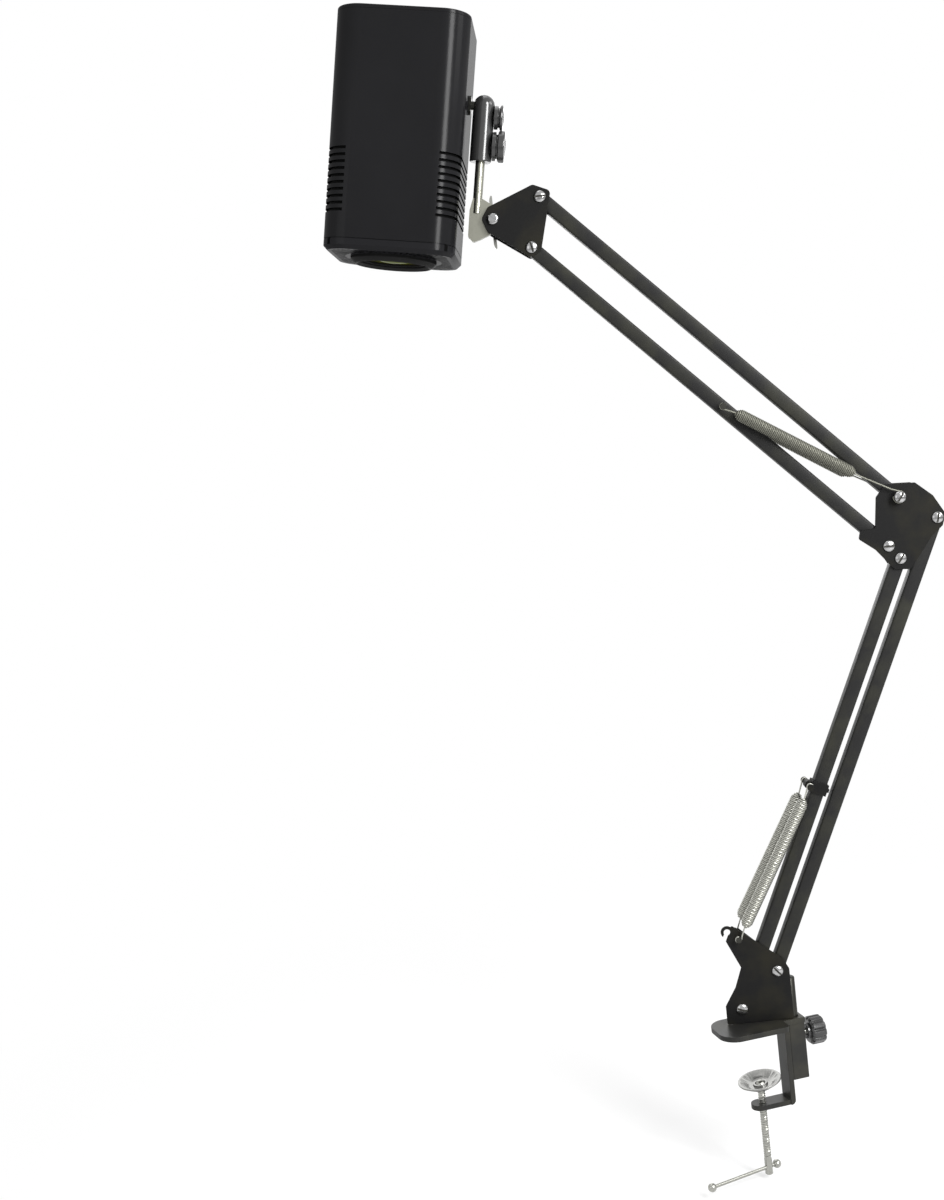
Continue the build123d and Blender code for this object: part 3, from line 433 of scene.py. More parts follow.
low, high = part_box("clamp_screw")
screw_top = high.z
screw_end = low.z
core = SCREW_RADIUS - THREAD_RIDGE
screw_outline = [
    (SCREW_RADIUS - TIP_INSET, screw_end), (SCREW_RADIUS, screw_end + TIP_RISE),
    (SCREW_RADIUS, screw_end + PLAIN_END - THREAD_RUNOUT), (core, screw_end + PLAIN_END),
    (core, screw_top),
]
upright = Matrix.Identity(4)
screw = turned(screw_outline, upright, SCREW_SIDES)
put_together("clamp_screw_core", screw, zinc, "clamp_screw", ["clamp_screw"], SCREW_EDGE)
turns = (screw_top - screw_end - PLAIN_END) / THREAD_PITCH
thread_line = []
for n in range(int(turns * POINTS_PER_TURN)):
    angle = 2 * math.pi * n / POINTS_PER_TURN
    rise = screw_end + PLAIN_END + THREAD_PITCH * n / POINTS_PER_TURN
    thread_line.append((core * math.cos(angle), core * math.sin(angle), rise))
thread = wire_through("screw_thread", thread_line, THREAD_RIDGE, zinc, THREAD_SIDES)
put_together("screw_thread", thread, zinc, "clamp_screw")

# Clamp pad: a pressed chrome saucer, hollow side up, that leans on the ball at the screw's tip.
# Its rim is rolled thin, and a boss in the middle is closed round the ball.
CHROME = (0.40, 0.40, 0.40)
# The pad's chrome is a darker copy of the bright chrome: painted shade for the dark reflections in its
# hollow.
PAD_CHROME_PAINTED_SHADE = (0.28, 0.28, 0.27)
PAD_EDGE = 0.35 * MM
chrome = bright_metal("bright_chrome", CHROME, roughness=0.20, darker=0.75)
pad_chrome_painted_shade = bright_metal("pad_chrome_painted_shade", PAD_CHROME_PAINTED_SHADE, roughness=0.34, darker=0.8)
from_cad("clamp_pad", "clamp_pad", pad_chrome_painted_shade, "clamp_pad", PAD_EDGE)
from_cad("tip_ball", "pad_ball", zinc, "pad_ball")

# Sliding bar: drawn steel rod through the screw's end, with a turned ball pressed on each end.
# It slides in its hole until a ball stops it.
DRAWN_STEEL = (0.36, 0.36, 0.33)
BAR_STRETCH = (0.05, 1.0, 1.0)
drawn_steel = bright_metal("drawn_steel", DRAWN_STEEL, roughness=0.28, stretch=BAR_STRETCH)
from_cad("sliding_bar", "tommy_bar", drawn_steel, "tommy")
from_cad("bar_balls", "tommy_knobs", zinc, "tommy")

# Base bracket: two blanked steel plates with a bent foot between them, in a matte black coat.
# The swivel post is turned bar, oiled black and welded behind the foot.
PLATE_COAT = (0.008, 0.008, 0.008)
PLATE_COAT_THIN = (0.015, 0.014, 0.010)
PLATE_EDGE = 0.35 * MM
BLACKED_STEEL = (0.045, 0.045, 0.040)
plate_coat = powder_coat("plate_coat", PLATE_COAT, PLATE_COAT_THIN, roughness=0.48, grain=0.4 * MM,
                         shine=0.08)
for node in ("base_plate_front", "base_plate_rear", "base_web"):
    from_cad(node + "_coated", node, plate_coat, "base_bracket", PLATE_EDGE)
blacked_steel = bright_metal("blacked_steel", BLACKED_STEEL, roughness=0.35)
from_cad("post_bar", "swivel_post", blacked_steel, "base_bracket")

# Pivot screws: domed chrome heads with a slot, and hexagon nuts behind.
# All three brackets use the same screw, and the elbow also has a longer one, turned and slotted alike.
HEAD_RADIUS = 4.5 * MM
HEAD_HEIGHT = 2.6 * MM
SLOT_WIDTH = 1.5 * MM
SLOT_DEPTH = 1.2 * MM
# Painted shade: the faces inside each head's slot are dark, standing in for the shade in the slot.
SLOT_PAINTED_SHADE = (0.030, 0.029, 0.024)
SHANK_RADIUS = 2.0 * MM
PLATE = 1.5 * MM
INSIDE = 5.65 * MM
NUT_HEIGHT = 4.0 * MM
NUT_EDGE = 0.4 * MM
DOME_RIM = 0.4 * MM
DOME_TIP = 0.05 * MM
DOME_STEPS = 7
DOME_SIDES = 40
RANDOM_MIN, RANDOM_MAX, RANDOM_FLOAT = 2, 3, 1
LEAST_TURN = 0.3
BASE_SEED = 3
joints = {joint["name"]: joint for joint in frame["joints"]}


def joint_place(name):
    return Vector(joints[name]["pos_m"])


arm_back = -Vector(joints["lower_arm"]["axis"])
arm_right = arm_back.cross(Vector((0, 0, 1)))
arm_face = axes_at(joint_place("lower_arm"), arm_right, -arm_back)


def in_face(point):
    """A point of the arm's plane as x and y on the face that looks forwards."""
    flat = arm_face.inverted() @ Vector(point)
    return Vector((flat.x, flat.y, 0.0))


def screw_seed(inside):
    """One pivot screw along z, its head's seat at the outside of the front plate."""
    seat = inside + PLATE
    dome = []
    for n in range(DOME_STEPS + 1):
        angle = 0.5 * math.pi * n / DOME_STEPS
        rise = DOME_RIM + (HEAD_HEIGHT - DOME_RIM) * math.sin(angle)
        dome.append((max(HEAD_RADIUS * math.cos(angle), DOME_TIP), seat + rise))
    outline = [(SHANK_RADIUS, -seat - NUT_HEIGHT), (SHANK_RADIUS, seat), (HEAD_RADIUS, seat)] + dome
    seed = in_scene("screw_seed", as_mesh("screw_seed", turned(outline, upright, DOME_SIDES)))
    shape = bmesh.new()
    bmesh.ops.create_cube(shape, size=1.0)
    blade = Matrix.Diagonal((4 * HEAD_RADIUS, SLOT_WIDTH, 2 * SLOT_DEPTH, 1.0))
    shape.transform(Matrix.Translation((0, 0, seat + HEAD_HEIGHT)) @ blade)
    cutter = in_scene("slot_cutter", as_mesh("slot_cutter", shape))
    seed.data.materials.append(chrome)
    cutter.data.materials.append(painted_slot_shade)
    cut = seed.modifiers.new("slot", "BOOLEAN")
    cut.operation = "DIFFERENCE"
    cut.object = cutter
    cut.material_mode = "TRANSFER"
    baked(seed)
    # The faces that the slot cut are marked, and take the painted shade.
    marks = seed.data.attributes.new("sunk", "FLOAT", "FACE")
    marks.data.foreach_set("value", [float(face.material_index) for face in seed.data.polygons])
    bpy.data.objects.remove(cutter)
    return seed


def pivot_screws(name, body, node, points, inside, seed_number, long_points=(), long_inside=0.0):
    """Sets a screw on each pivot, each stopped at its own angle."""

    def grow(nodes, start):
        turn = nodes.add("FunctionNodeRandomValue", {"data_type": "FLOAT"},
                         {RANDOM_MIN: LEAST_TURN, RANDOM_MAX: math.pi, "Seed": start.also("Seed")},
                         RANDOM_FLOAT)
        spin = nodes.add("ShaderNodeCombineXYZ", None, {"Z": turn})
        screw = nodes.add("GeometryNodeObjectInfo", None, {"Object": start.also("Screw")}, "Geometry")
        return nodes.add("GeometryNodeInstanceOnPoints", None,
                         {"Points": start, "Instance": screw, "Rotation": spin})

    both = bmesh.new()
    for places, depth in ((points, inside), (long_points, long_inside)):
        if places:
            seed = screw_seed(depth)
            base = bpy.data.meshes.new(name)
            base.from_pydata([in_face(p) for p in places], [], [])
            mesh = grown(name, base, {"Screw": seed, "Seed": seed_number}, grow, chrome)
            mesh.transform(arm_face)
            both.from_mesh(mesh)
            bpy.data.objects.remove(seed)
    put_together(name, both, chrome, body, [node], sunk=painted_slot_shade)


# Painted shade for the screw slots, in place of the chrome that lies in shade there.
painted_slot_shade = moulded("painted_slot_shade", SLOT_PAINTED_SHADE, roughness=0.5)
base_points = [joint_place("lower_arm"), joint_place("lower_follow")]
pivot_screws("base_screws", "base_bracket", "base_pivot_screws", base_points, INSIDE, BASE_SEED)
from_cad("base_nuts", "base_pivot_nuts", chrome, "base_bracket", NUT_EDGE)

# Lower arm: two square steel tubes with rounded corners and closed, rounded ends.
# Their black coat is smoother than the plates' and a little glossier.
TUBE = 10.5 * MM
TUBE_CORNER = 1.5 * MM
TUBE_COAT = (0.013, 0.013, 0.013)
TUBE_COAT_THIN = (0.022, 0.022, 0.017)
END_STEPS = 8
END_REACH = 0.94
CORNER_STEPS = 4
CORNER_SHARE = 0.6


def square_loop(height, width, corner):
    """A rounded rectangle's points, x up to half the height and y up to half the width."""
    points = []
    for quarter in range(4):
        sign_x = 1 if quarter in (0, 3) else -1
        sign_y = 1 if quarter in (0, 1) else -1
        for n in range(CORNER_STEPS + 1):
            angle = 0.5 * math.pi * (quarter + n / CORNER_STEPS)
            points.append((sign_x * (height - corner) + corner * math.cos(angle),
                           sign_y * (width - corner) + corner * math.sin(angle)))
    return points


def square_tube(start, end):
    """A tube from pivot to pivot, round nosed past each, with x across the arm's plane."""
    along = (end - start).normalized()
    place = axes_at(start, along.cross(arm_back), along)
    length = (end - start).length
    half = TUBE / 2
    stations = []
    for n in range(END_STEPS + 1):
        angle = 0.5 * math.pi * (1 - END_REACH * (1 - n / END_STEPS))
        stations.append((-half * math.cos(angle), half * math.sin(angle)))
    nose = list(stations)
    stations += [(length - z, height) for z, height in reversed(nose)]
    shape = bmesh.new()
    rings = []
    for z, height in stations:
        corner = min(TUBE_CORNER, CORNER_SHARE * height)
        loop = square_loop(height, half, corner)
        rings.append([shape.verts.new(place @ Vector((x, y, z))) for x, y in loop])
    return skinned(shape, rings)


tube_coat = powder_coat("tube_coat", TUBE_COAT, TUBE_COAT_THIN, roughness=0.40, grain=0.6 * MM,
                        shine=0.14, depth=0.008 * MM)
lower_reach = joint_place("elbow_level") - joint_place("lower_arm")
put_together("lower_tube_left", square_tube(joint_place("lower_arm"), joint_place("elbow_level")),
             tube_coat, "lower_main", ["lower_main_tube"])
follow_start = joint_place("lower_follow")
put_together("lower_tube_right", square_tube(follow_start, follow_start + lower_reach),
             tube_coat, "lower_follow", ["lower_follow_tube"])

# Lower springs: close wound spring steel either side of the tube, hooked on a stub at each end.
# Each is one wire: a hook, the coils, and a second hook. A black strap round the tube holds the top.
SPRING_WIRE = 0.62 * MM
WIRE_SIDES = 8
STRAP_PLACE = 184.0 * MM
STRAP_PIN = 8.5 * MM
STRAP_EDGE = 0.25 * MM
SPRING_RUN = 11.0 * MM
COIL_RADIUS = 4.1 * MM
COIL_PITCH = 1.34 * MM
SPRING_SIDE = 11.0 * MM
PIN_RADIUS = 1.5 * MM
COIL_POINTS = 16
HOOK_TURN = math.radians(250)
HOOK_STEPS = 12
HOOK_LEAD = 1.8
HOOK_OFFSET = 0.55
TAPER_RATE = 25
TAPER_START = 0.12
SPRING_STEEL = (0.42, 0.42, 0.38)


def spring_line(length, near_run, far_run, near_pin, far_pin):
    """A spring's centre line along x, from the pin at 0 to the pin at its length."""
    near = near_pin + SPRING_WIRE
    far = far_pin + SPRING_WIRE
    points = []
    for n in range(HOOK_STEPS + 1):
        angle = math.pi / 2 + HOOK_TURN * (1 - n / HOOK_STEPS)
        points.append(Vector((near * math.cos(angle), 0.0, near * math.sin(angle))))
    points.append(Vector((near * HOOK_LEAD, 0.0, near * HOOK_OFFSET)))
    turns = round((length - near_run - far_run) / COIL_PITCH)
    count = turns * COIL_POINTS
    for n in range(count + 1):
        t = n / count
        opened = min(1.0, TAPER_RATE * t, TAPER_RATE * (1 - t)) ** 0.5
        radius = COIL_RADIUS * (TAPER_START + (1 - TAPER_START) * opened)
        angle = 2 * math.pi * n / COIL_POINTS
        x = near_run + (length - near_run - far_run) * t
        points.append(Vector((x, radius * math.cos(angle), radius * math.sin(angle))))
    points.append(Vector((length - far * HOOK_LEAD, 0.0, -far * HOOK_OFFSET)))
    for n in range(HOOK_STEPS + 1):
        angle = -math.pi / 2 + HOOK_TURN * n / HOOK_STEPS
        points.append(Vector((length + far * math.cos(angle), 0.0, far * math.sin(angle))))
    return points


def spring_pair(name, start, end, runs, pins, bodies, nodes, material):
    """A spring on each side of a tube, stretched between the bodies that carry its pins."""
    along = (end - start).normalized()
    place = axes_at(start, along, along.cross(-arm_back))
    for side, node in zip((-1, 1), nodes):
        line = spring_line((end - start).length, *runs, *pins)
        shift = Matrix.Translation(arm_back * side * SPRING_SIDE)
        points = [shift @ place @ p for p in line]
        mesh = wire_through(f"{name}_{node}", points, SPRING_WIRE, material, WIRE_SIDES)
        piece = put_together(f"{name}_{node}", mesh, material, bodies[1], [node])
        piece.parent = None
        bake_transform(piece)


spring_steel = bright_metal("spring_steel", SPRING_STEEL, roughness=0.40, line=1.2 * MM, darker=0.8)
along = lower_reach.normalized()
lower_clip = joint_place("lower_arm") + along * STRAP_PLACE + along.cross(arm_back) * STRAP_PIN
spring_pair("lower_spring", joint_place("lower_spring_swing"), lower_clip, (SPRING_RUN, SPRING_RUN),
            (PIN_RADIUS, PIN_RADIUS), ("lower_spring_anchor", "lower_springs"),
            ("lower_spring_front", "lower_spring_rear"), spring_steel)
from_cad("tube_strap", "lower_spring_clip", plate_coat, "lower_main", STRAP_EDGE)
from_cad("anchor_pin", "lower_spring_anchor", blacked_steel, "lower_spring_anchor",
         FINE_EDGE)

# Elbow bracket: two broad plates on four screws, which hold both ends of both arms apart.
# The high left screw is longer, with black spacers outside the plates for the upper springs.
LONG_INSIDE = 11.8 * MM
ELBOW_SEED = 8
BUSH_BLACK = (0.018, 0.018, 0.018)
SPACER_EDGE = 0.25 * MM
elbow_points = [joint_place("elbow_level"), follow_start + lower_reach, joint_place("upper_arm")]
for node in ("elbow_plate_front", "elbow_plate_rear"):
    from_cad(node + "_coated", node, plate_coat, "elbow", PLATE_EDGE)
pivot_screws("elbow_screws", "elbow", "elbow_pivot_screws", elbow_points, INSIDE, ELBOW_SEED,
             [joint_place("upper_follow")], LONG_INSIDE)
from_cad("elbow_nuts", "elbow_pivot_nuts", chrome, "elbow", NUT_EDGE)
bush_plastic = moulded("bush_plastic", BUSH_BLACK, roughness=0.5)
from_cad("spring_spacers", "upper_spring_bushes", bush_plastic, "upper_spring_bushes",
         SPACER_EDGE)

# Upper arm: the same square tube, a little shorter, with the upper springs beside its lower tube.
# Their elbow ends run out as long plain wires to the high elbow screw.
BUSH_RADIUS = 3.8 * MM
UPPER_PLAIN_RUN = 38.0 * MM
SPRING_STEEL_PAINTED_SHADE = (0.20, 0.20, 0.17)
upper_reach = joint_place("head_level") - joint_place("upper_arm")
put_together("upper_tube_low", square_tube(joint_place("upper_arm"), joint_place("head_level")),
             tube_coat, "upper_main", ["upper_main_tube"])
high_start = joint_place("upper_follow")
put_together("upper_tube_high", square_tube(high_start, high_start + upper_reach),
             tube_coat, "upper_follow", ["upper_follow_tube"])
low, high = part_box("upper_spring_clip")
upper_clip = (low + high) / 2
# The upper springs take a darker copy of the spring steel: painted shade for the shade they lie in
# beside the tube.
spring_steel_painted_shade = bright_metal("spring_steel_painted_shade", SPRING_STEEL_PAINTED_SHADE, roughness=0.62, line=1.2 * MM,
                                 darker=0.8)
spring_pair("upper_spring", joint_place("upper_spring_swing"), upper_clip, (UPPER_PLAIN_RUN, SPRING_RUN),
            (BUSH_RADIUS, PIN_RADIUS), ("upper_spring_bushes", "upper_springs"),
            ("upper_spring_front", "upper_spring_rear"), spring_steel_painted_shade)
from_cad("upper_pin", "upper_spring_clip", blacked_steel, "upper_main", FINE_EDGE)

# Head bracket: two narrow plates that hug the upper tubes, with a screw and wing nut to clamp the rod.
# The wing nut is plated, and the washers are black nylon.
HEAD_SEED = 5
WING_EDGE = 0.6 * MM
head_points = [joint_place("head_level"), high_start + upper_reach]
for node in ("head_plate_front", "head_plate_rear"):
    from_cad(node + "_coated", node, plate_coat, "head_bracket", PLATE_EDGE)
pivot_screws("head_screws", "head_bracket", "head_pivot_screws", head_points, INSIDE, HEAD_SEED)
from_cad("head_nuts", "head_pivot_nuts", chrome, "head_bracket", NUT_EDGE)
from_cad("tilt_bolt", "tilt_screw", chrome, "head_bracket", FINE_EDGE)
from_cad("nylon_washers", "tilt_washers", bush_plastic, "head_bracket", FINE_EDGE)
from_cad("wing_nut", "tilt_wing_nut", zinc, "wing_nut", WING_EDGE)

# Mounting rod: 7 mm steel bar, brushed along its length, with a forged lug at its lower end.
# The head bracket's screw clamps the lug.
ROD_STEEL = (0.33, 0.33, 0.28)
ROD_STRETCH = (1.0, 1.0, 0.05)
ROD_EDGE = 0.8 * MM
rod_steel = bright_metal("rod_steel", ROD_STEEL, roughness=0.34, stretch=ROD_STRETCH)
from_cad("steel_rod", "mount_rod", rod_steel, "rod", ROD_EDGE)

# Ball head: a gloss black post that grips the rod below and a steel ball under its domed top.
# Two smooth turned thumb screws lock them, the lower one the larger.
HEAD_EDGE = 0.4 * MM
BALL_EDGE = 0.3 * MM
POST_BLACK = (0.022, 0.022, 0.022)
POST_RADIUS = 8.2 * MM
THUMB_SIDES = 144
THUMB_EDGE = 0.15 * MM
THUMB_SHANK = 2.4 * MM
THUMB_SHANK_END = 4.8 * MM
THUMB_HUB = 0.3 * MM
THUMB_GROOVE = 3.0 * MM
THUMB_HEAD = 4.4 * MM
THUMB_LIP = 1.2 * MM
THUMB_DISH = 0.6 * MM
GROOVE_SLOPE = 0.2 * MM
LOWER_THUMB = (11.6 * MM, 17.8 * MM)
UPPER_THUMB = (9.4 * MM, 15.0 * MM)
post_black = moulded("post_black", POST_BLACK, roughness=0.22, coat=0.6)
from_cad("ball_post", "head_housing", post_black, "head", HEAD_EDGE)
from_cad("ball_stud", "head_ball", blacked_steel, "projector", BALL_EDGE)
roll_axis = Vector(joints["projector_roll"]["axis"])
pan_axis = Vector(joints["head_pan"]["axis"])


def thumb_screw(name, body, joint, node, radius, reach):
    """A turned thumb screw: hub, groove and head, out along the knob's own axis."""
    hub = POST_RADIUS + THUMB_HUB
    groove = POST_RADIUS + THUMB_GROOVE
    head = POST_RADIUS + THUMB_HEAD
    lip = THUMB_LIP
    outline = [
        (THUMB_SHANK, THUMB_SHANK_END), (THUMB_SHANK, hub), (radius * 0.92, hub),
        (radius * 0.92, groove), (radius * 0.78, groove + GROOVE_SLOPE),
        (radius * 0.78, head - GROOVE_SLOPE), (radius - 0.5 * lip, head),
        (radius, head + 0.5 * lip), (radius, reach - lip), (radius - 0.3 * lip, reach - 0.3 * lip),
        (radius - lip, reach), (radius * 0.6, reach), (radius * 0.52, reach - THUMB_DISH),
    ]
    place = axes_at(joint_place(joint), pan_axis, roll_axis)
    put_together(name, turned(outline, place, THUMB_SIDES), post_black, body,
                 [node], THUMB_EDGE)


thumb_screw("lower_thumb_screw", "pan_knob", "pan_lock", "head_lower_knob", *LOWER_THUMB)
thumb_screw("upper_thumb_screw", "ball_knob", "ball_lock", "head_upper_knob", *UPPER_THUMB)

# Projector housing: one moulded square shell with ten cooling slots round each side, and its top.
# The plastic is satin black with a fine grain, and the slots' walls are painted near black, painted
# shade that makes the slots dark right through.
HOUSING_BLACK = (0.0065, 0.0065, 0.0072)
SLOT_WALL_PAINTED_SHADE = (0.003, 0.003, 0.003)
HOUSING_EDGE = 0.35 * MM
SLOTS_LOW = -55.0 * MM
SLOTS_HIGH = 0.0
HEAD_TO_MIDDLE = 60.4 * MM
BODY_HALF = 49.0 * MM
BODY_CORNER = 20.0 * MM
BRASS = (0.72, 0.52, 0.24)
KEY_EDGE = 0.3 * MM
ON_CORNER = 0.03 * MM
NEAR_CORNER = 0.1 * MM
BAND_HEIGHT = 0.1 * MM
BAND_TURN = 0.01
LYING = 0.7
LEANING = 0.1
front_axis = pan_axis.cross(roll_axis)
body_middle = joint_place("head_pan") - roll_axis * HEAD_TO_MIDDLE


def sunk_faces(shape, low, high, level, widest):
    """Marks the walls of slots cut between two heights, by whether they lie level or stand up, to take
    painted shade.
    """
    marks = shape.faces.layers.float.new("sunk")
    for face in shape.faces:
        away = face.calc_center_median() - body_middle
        lying = abs(face.normal.dot(pan_axis)) > LYING
        inward = max(abs(away.dot(roll_axis)), abs(away.dot(front_axis))) < widest
        face[marks] = float(low < away.dot(pan_axis) < high and lying == level and inward)


def bend_at(point):
    """How a point lies in its rounded corner, from the corner's own upright axis outwards."""
    away = point - body_middle
    bend = Vector((0.0, 0.0, 0.0))
    for axis in (roll_axis, front_axis):
        along = away.dot(axis)
        bend += axis * math.copysign(max(abs(along) - BODY_HALF + BODY_CORNER, 0.0), along)
    return bend


def upright_strips(shape):
    """Rebuilds the bands round the corners as upright strips, where they came as fans."""
    bands = {}
    for face in shape.faces:
        bends = [bend_at(v.co) for v in face.verts]
        heights = [v.co.dot(pan_axis) for v in face.verts]
        on_corner = all(abs(b.length - BODY_CORNER) < ON_CORNER for b in bends)
        turned_by = max(bends[0].angle(b) for b in bends) if on_corner else 0.0
        if turned_by > BAND_TURN and max(heights) - min(heights) > BAND_HEIGHT:
            middle_bend = sum(bends, Vector())
            sides = (middle_bend.dot(roll_axis) > 0, middle_bend.dot(front_axis) > 0)
            key = (*sides, round(min(heights) / MM, 1), round(max(heights) / MM, 1))
            bands.setdefault(key, []).append(face)
    for (right, front, low_mark, high_mark), faces in bands.items():
        start = roll_axis * (1 if right else -1)
        points = {v for face in faces for v in face.verts}
        split = (low_mark + high_mark) / 2 * MM
        rows = []
        for upper in (False, True):
            row = [v for v in points if (v.co.dot(pan_axis) > split) == upper]
            rows.append(sorted(row, key=lambda v: start.angle(bend_at(v.co))))
        count = len(rows[0])
        if len(rows[1]) != count or len(faces) != 2 * (count - 1):
            continue
        bmesh.ops.delete(shape, geom=faces, context="FACES_ONLY")
        for n in range(count - 1):
            strip = shape.faces.new((rows[0][n], rows[0][n + 1], rows[1][n + 1], rows[1][n]))
            strip.normal_update()
            if strip.normal.dot(bend_at(rows[0][n].co)) < 0:
                strip.normal_flip()


def rounded_corners(piece):
    """Gives the upright faces of the body's rounded corners the normals of true cylinders."""
    mesh = piece.data
    normals = [Vector(n.vector) for n in mesh.corner_normals]
    for face in mesh.polygons:
        if abs(face.normal.dot(pan_axis)) > LEANING:
            continue
        for loop in face.loop_indices:
            bend = bend_at(mesh.vertices[mesh.loops[loop].vertex_index].co)
            if bend.length > BODY_CORNER - NEAR_CORNER and bend.dot(face.normal) > 0:
                normals[loop] = bend.normalized()
    mesh.normals_split_custom_set(normals)


housing_plastic = moulded("housing_plastic", HOUSING_BLACK, roughness=0.5, shine=0.0, coat=0.17,
                          polish=0.20)
# Painted shade: the slot walls get a near-black, matt copy of the plastic for the shade inside the
# slots.
slot_walls_painted_shade = moulded("slot_walls_painted_shade", SLOT_WALL_PAINTED_SHADE, roughness=0.7, shine=0.0)
shell = cad_copy("housing_shell", whole=False)
upright_strips(shell)
sunk_faces(shell, SLOTS_LOW, SLOTS_HIGH, True, BODY_HALF)
rounded_corners(put_together("projector_shell", shell, housing_plastic, "projector",
                             ["housing_shell"], sunk=slot_walls_painted_shade))
from_cad("projector_top", "top_cover", housing_plastic, "projector", HOUSING_EDGE)
from_cad("power_key", "power_button", knob_black, "power_button", KEY_EDGE)
brass = bright_metal("turned_brass", BRASS, roughness=0.25)
from_cad("stud_insert", "mount_insert", brass, "projector", FINE_EDGE)
from_cad("inlet", "power_inlet", bush_plastic, "projector", FINE_EDGE)

# Bottom rim: a moulded ring with slits that point at the lens, a shade paler than the shell.
# It is a part of its own, and closes the shell's open lower end.
RIM_GREY = (0.008, 0.008, 0.009)
RIM_LOW = -76.1 * MM
RIM_INSET = 5.0 * MM
rim_plastic = moulded("rim_plastic", RIM_GREY, roughness=0.5, shine=0.0, coat=0.16, polish=0.20)
rim = cad_copy("vent_rim")
# The slits' walls are marked for the same painted shade as the shell's slots.
sunk_faces(rim, RIM_LOW, SLOTS_LOW, False, BODY_HALF - RIM_INSET)
put_together("slit_rim", rim, rim_plastic, "projector", ["vent_rim"], sunk=slot_walls_painted_shade)

# Lens: a smooth tapered focus ring in satin black, round a barrel with a coated front glass.
# The glass's olive middle is painted glow of the projector's beam, which is not built, and it turns a
# dark amber towards the edge.
FOCUS_BLACK = (0.008, 0.008, 0.008)
LENS_EDGE = 0.3 * MM
GLASS_RADIUS = 22.0 * MM
GLASS_PAINTED_GLOW = (0.070, 0.085, 0.010)
GLASS_AMBER = (0.022, 0.019, 0.003)
GLASS_ROUGHNESS = 0.04
GLASS_SMEAR = 0.06
focus_plastic = moulded("focus_plastic", FOCUS_BLACK, roughness=0.5, shine=0.0, coat=0.15, polish=0.25)
from_cad("focus_drum", "focus_ring", focus_plastic, "focus_ring", LENS_EDGE)
from_cad("lens_tube", "lens_barrel", focus_plastic, "lens", LENS_EDGE)


def glass_with_painted_glow(name, centre, axis, radius):
    """A dark glass with painted glow, whose colour changes from the middle to the edge."""
    material, nodes, place = bare_material(name)
    away = nodes.add("ShaderNodeVectorMath", {"operation": "SUBTRACT"}, {0: place, 1: tuple(centre)})
    along = nodes.add("ShaderNodeVectorMath", {"operation": "PROJECT"}, {0: away, 1: tuple(axis)})
    flat = nodes.add("ShaderNodeVectorMath", {"operation": "SUBTRACT"}, {0: away, 1: along})
    far = nodes.add("ShaderNodeVectorMath", {"operation": "LENGTH"}, {0: flat}, "Value") / float(radius)
    smear = nodes.add("ShaderNodeTexNoise", None, {"Vector": place, "Scale": 60.0, "Detail": 2.0})
    ring = nodes.add("ShaderNodeValToRGB", {"stops": [(0.35, 0.0), (0.95, 1.0)]}, {"Fac": far})
    return finished(material, nodes, {
        "Base Color": ring.mixed(solid(GLASS_PAINTED_GLOW), solid(GLASS_AMBER)),
        "Roughness": GLASS_ROUGHNESS + smear * GLASS_SMEAR,
        "Coat Weight": 0.22,
        "Coat Roughness": 0.02,
        "Specular IOR Level": 0.0,
    })


low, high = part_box("lens_glass")
lens_coating_painted_glow = glass_with_painted_glow("lens_coating_painted_glow", (low + high) / 2, pan_axis, GLASS_RADIUS)
from_cad("front_glass", "lens_glass", lens_coating_painted_glow, "lens", FINE_EDGE)

# Inside the shell: a dark dust screen behind the slots, cast light engine, heat sink, fan and board.
# They show only as glimpses through the slots, so they keep their plain forms.
CAST_ALLOY = (0.40, 0.41, 0.42)
BOARD_GREEN = (0.01, 0.07, 0.03)
SCREEN_BLACK = (0.004, 0.004, 0.004)
cast_alloy = bright_metal("cast_alloy", CAST_ALLOY, roughness=0.5)
board_green = moulded("board_green", BOARD_GREEN, roughness=0.35)
dark_mesh = moulded("dark_mesh", SCREEN_BLACK, roughness=0.7, shine=0.05)
inner_pieces = {
    "dust_screen": dark_mesh,
    "light_engine": cast_alloy,
    "heat_sink": cast_alloy,
    "fan_frame": bush_plastic,
    "fan_rotor": bush_plastic,
    "control_board": board_green,
}
for node, material in inner_pieces.items():
    inner = frame["nodes"][node]
    inner.data.materials.clear()
    inner.data.materials.append(material)

# Stage: a pale floor below the clamp that fades into a white surround, and soft lamps all round.
# The tall strip in front draws the bright line down the housing's corner.
FLOOR_DROP = 4.0 * MM
FLOOR_PALE = (0.90, 0.90, 0.90, 1.0)
FLOOR_FADE = 0.9
FLOOR_HALF = 6.0
WHITE = (1.0, 1.0, 1.0, 1.0)
AMBIENT = 0.5
low, high = cad_bounds
floor_mesh = bpy.data.meshes.new("floor")
floor_sides = ((-1, -1), (1, -1), (1, 1), (-1, 1))
corners = [(x * FLOOR_HALF, y * FLOOR_HALF, low[2] - FLOOR_DROP) for x, y in floor_sides]
floor_mesh.from_pydata(corners, [], [(0, 1, 2, 3)])
floor = in_scene("floor", floor_mesh)
floor_paint, nodes, place = bare_material("floor_paint")
far = nodes.add("ShaderNodeVectorMath", {"operation": "LENGTH"}, {0: place}, "Value") / FLOOR_FADE
fade = nodes.add("ShaderNodeValToRGB", {"stops": [(0.2, 0.5), (1.0, 1.0)]}, {"Fac": far})
rays = nodes.add("ShaderNodeLightPath", output="Is Camera Ray")
paint = nodes.add("ShaderNodeBsdfDiffuse", None, {"Color": FLOOR_PALE})
white = nodes.add("ShaderNodeEmission", None, {"Color": WHITE, "Strength": 1.0})
shown = nodes.add("ShaderNodeMixShader", None, {0: fade * rays, 1: paint, 2: white})
nodes.add("ShaderNodeOutputMaterial", None, {"Surface": shown})
floor_mesh.materials.append(floor_paint)

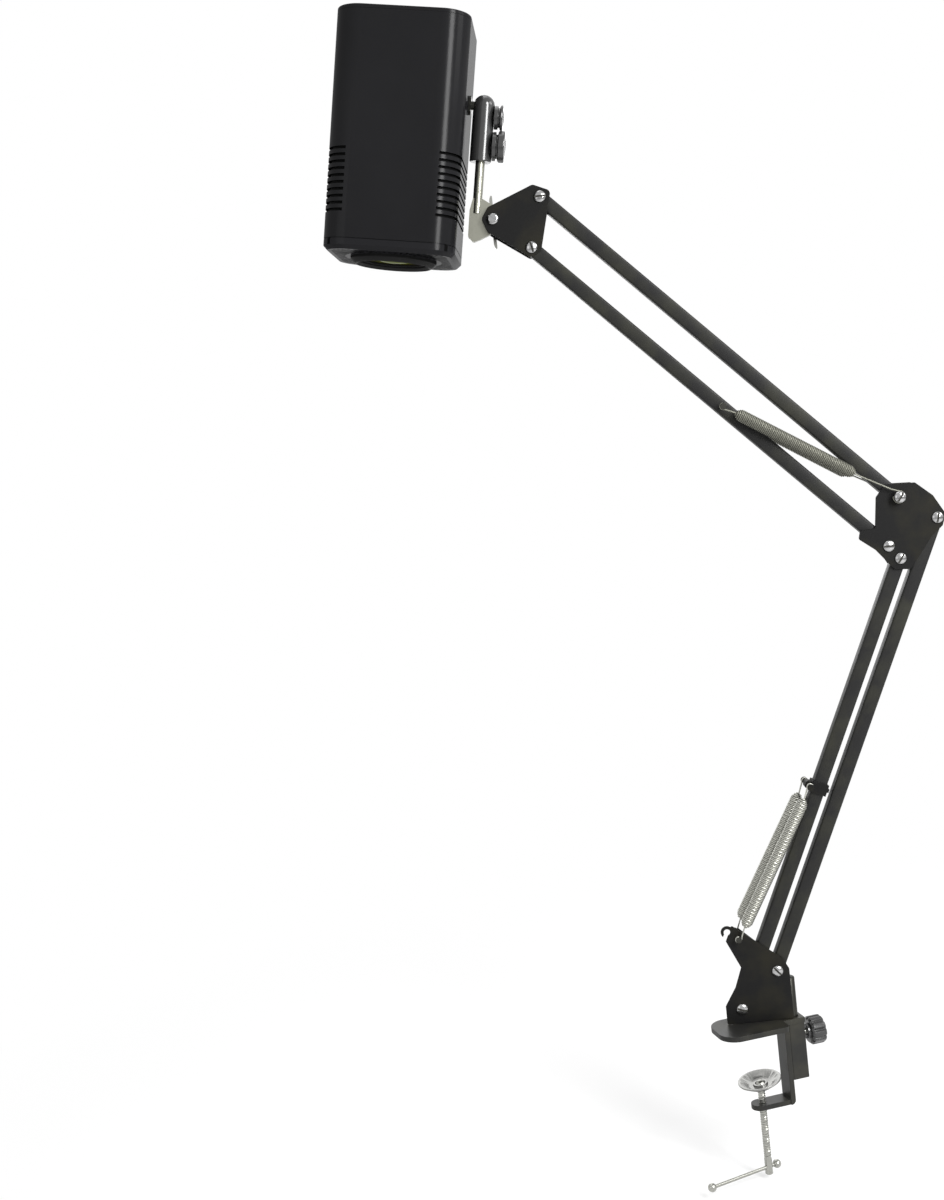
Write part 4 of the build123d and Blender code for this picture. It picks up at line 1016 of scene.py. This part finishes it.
world = bpy.data.worlds.new("surround")
bpy.context.scene.world = world
world.use_nodes = True
nodes = Nodes(world.node_tree)
rays = nodes.add("ShaderNodeLightPath", output="Is Camera Ray")
seen = rays.math("MAXIMUM", rays.also("Is Glossy Ray")).math("MAXIMUM", rays.also("Is Transmission Ray"))
strength = AMBIENT + seen * (1.0 - AMBIENT)
shade = nodes.add("ShaderNodeBackground", None, {"Color": WHITE, "Strength": strength})
nodes.add("ShaderNodeOutputWorld", None, {"Surface": shade})
bpy.context.scene.view_settings.view_transform = "Standard"
middle = (Vector(low) + Vector(high)) / 2


def soft_lamp(name, offset, size, power):
    """A flat lamp that looks at the middle of the object."""
    light = bpy.data.lights.new(name, "AREA")
    light.shape = "RECTANGLE"
    light.size, light.size_y = size
    light.energy = power
    lamp = in_scene(name, light)
    lamp.location = middle + Vector(offset)
    lamp.rotation_euler = (-Vector(offset)).to_track_quat("-Z", "Y").to_euler()


soft_lamp("key_lamp", (1.4, -0.8, 0.9), (0.8, 0.8), 10.0)
soft_lamp("fill_lamp", (-1.5, -0.9, 0.3), (1.0, 1.0), 3.0)
soft_lamp("top_lamp", (-0.2, 0.3, 1.8), (1.4, 1.4), 9.0)
soft_lamp("back_lamp", (0.4, 1.6, 0.5), (1.0, 1.0), 6.0)
soft_lamp("strip_lamp", (0.44, -1.25, 0.60), (0.40, 0.9), 27.0)

# Camera: in front of the arm and a little below the projector, rolled as the photograph is.
# Its place is measured from the lower left pivot, along the arm's own plane.
CAMERA_PLACE = (-127.4 * MM, 443.0 * MM, 1148.6 * MM)
CAMERA_TURN = math.radians(2.36)
CAMERA_DIP = math.radians(5.05)
CAMERA_ROLL = math.radians(6.41)
CAMERA_LENS = 44.9
CAMERA_SENSOR = 36.0
CAMERA_NEAR = 0.01
camera_data = bpy.data.cameras.new("camera")
camera_data.lens = CAMERA_LENS
camera_data.sensor_width = CAMERA_SENSOR
camera_data.sensor_fit = "AUTO"
camera_data.clip_start = CAMERA_NEAR
camera = in_scene("camera", camera_data)
tipped = Matrix.Rotation(-CAMERA_DIP, 4, "X") @ Matrix.Rotation(-CAMERA_ROLL, 4, "Z")
aimed = Matrix.Rotation(CAMERA_TURN, 4, "Y") @ tipped
camera.matrix_world = arm_face @ Matrix.Translation(CAMERA_PLACE) @ aimed
bpy.context.scene.camera = camera
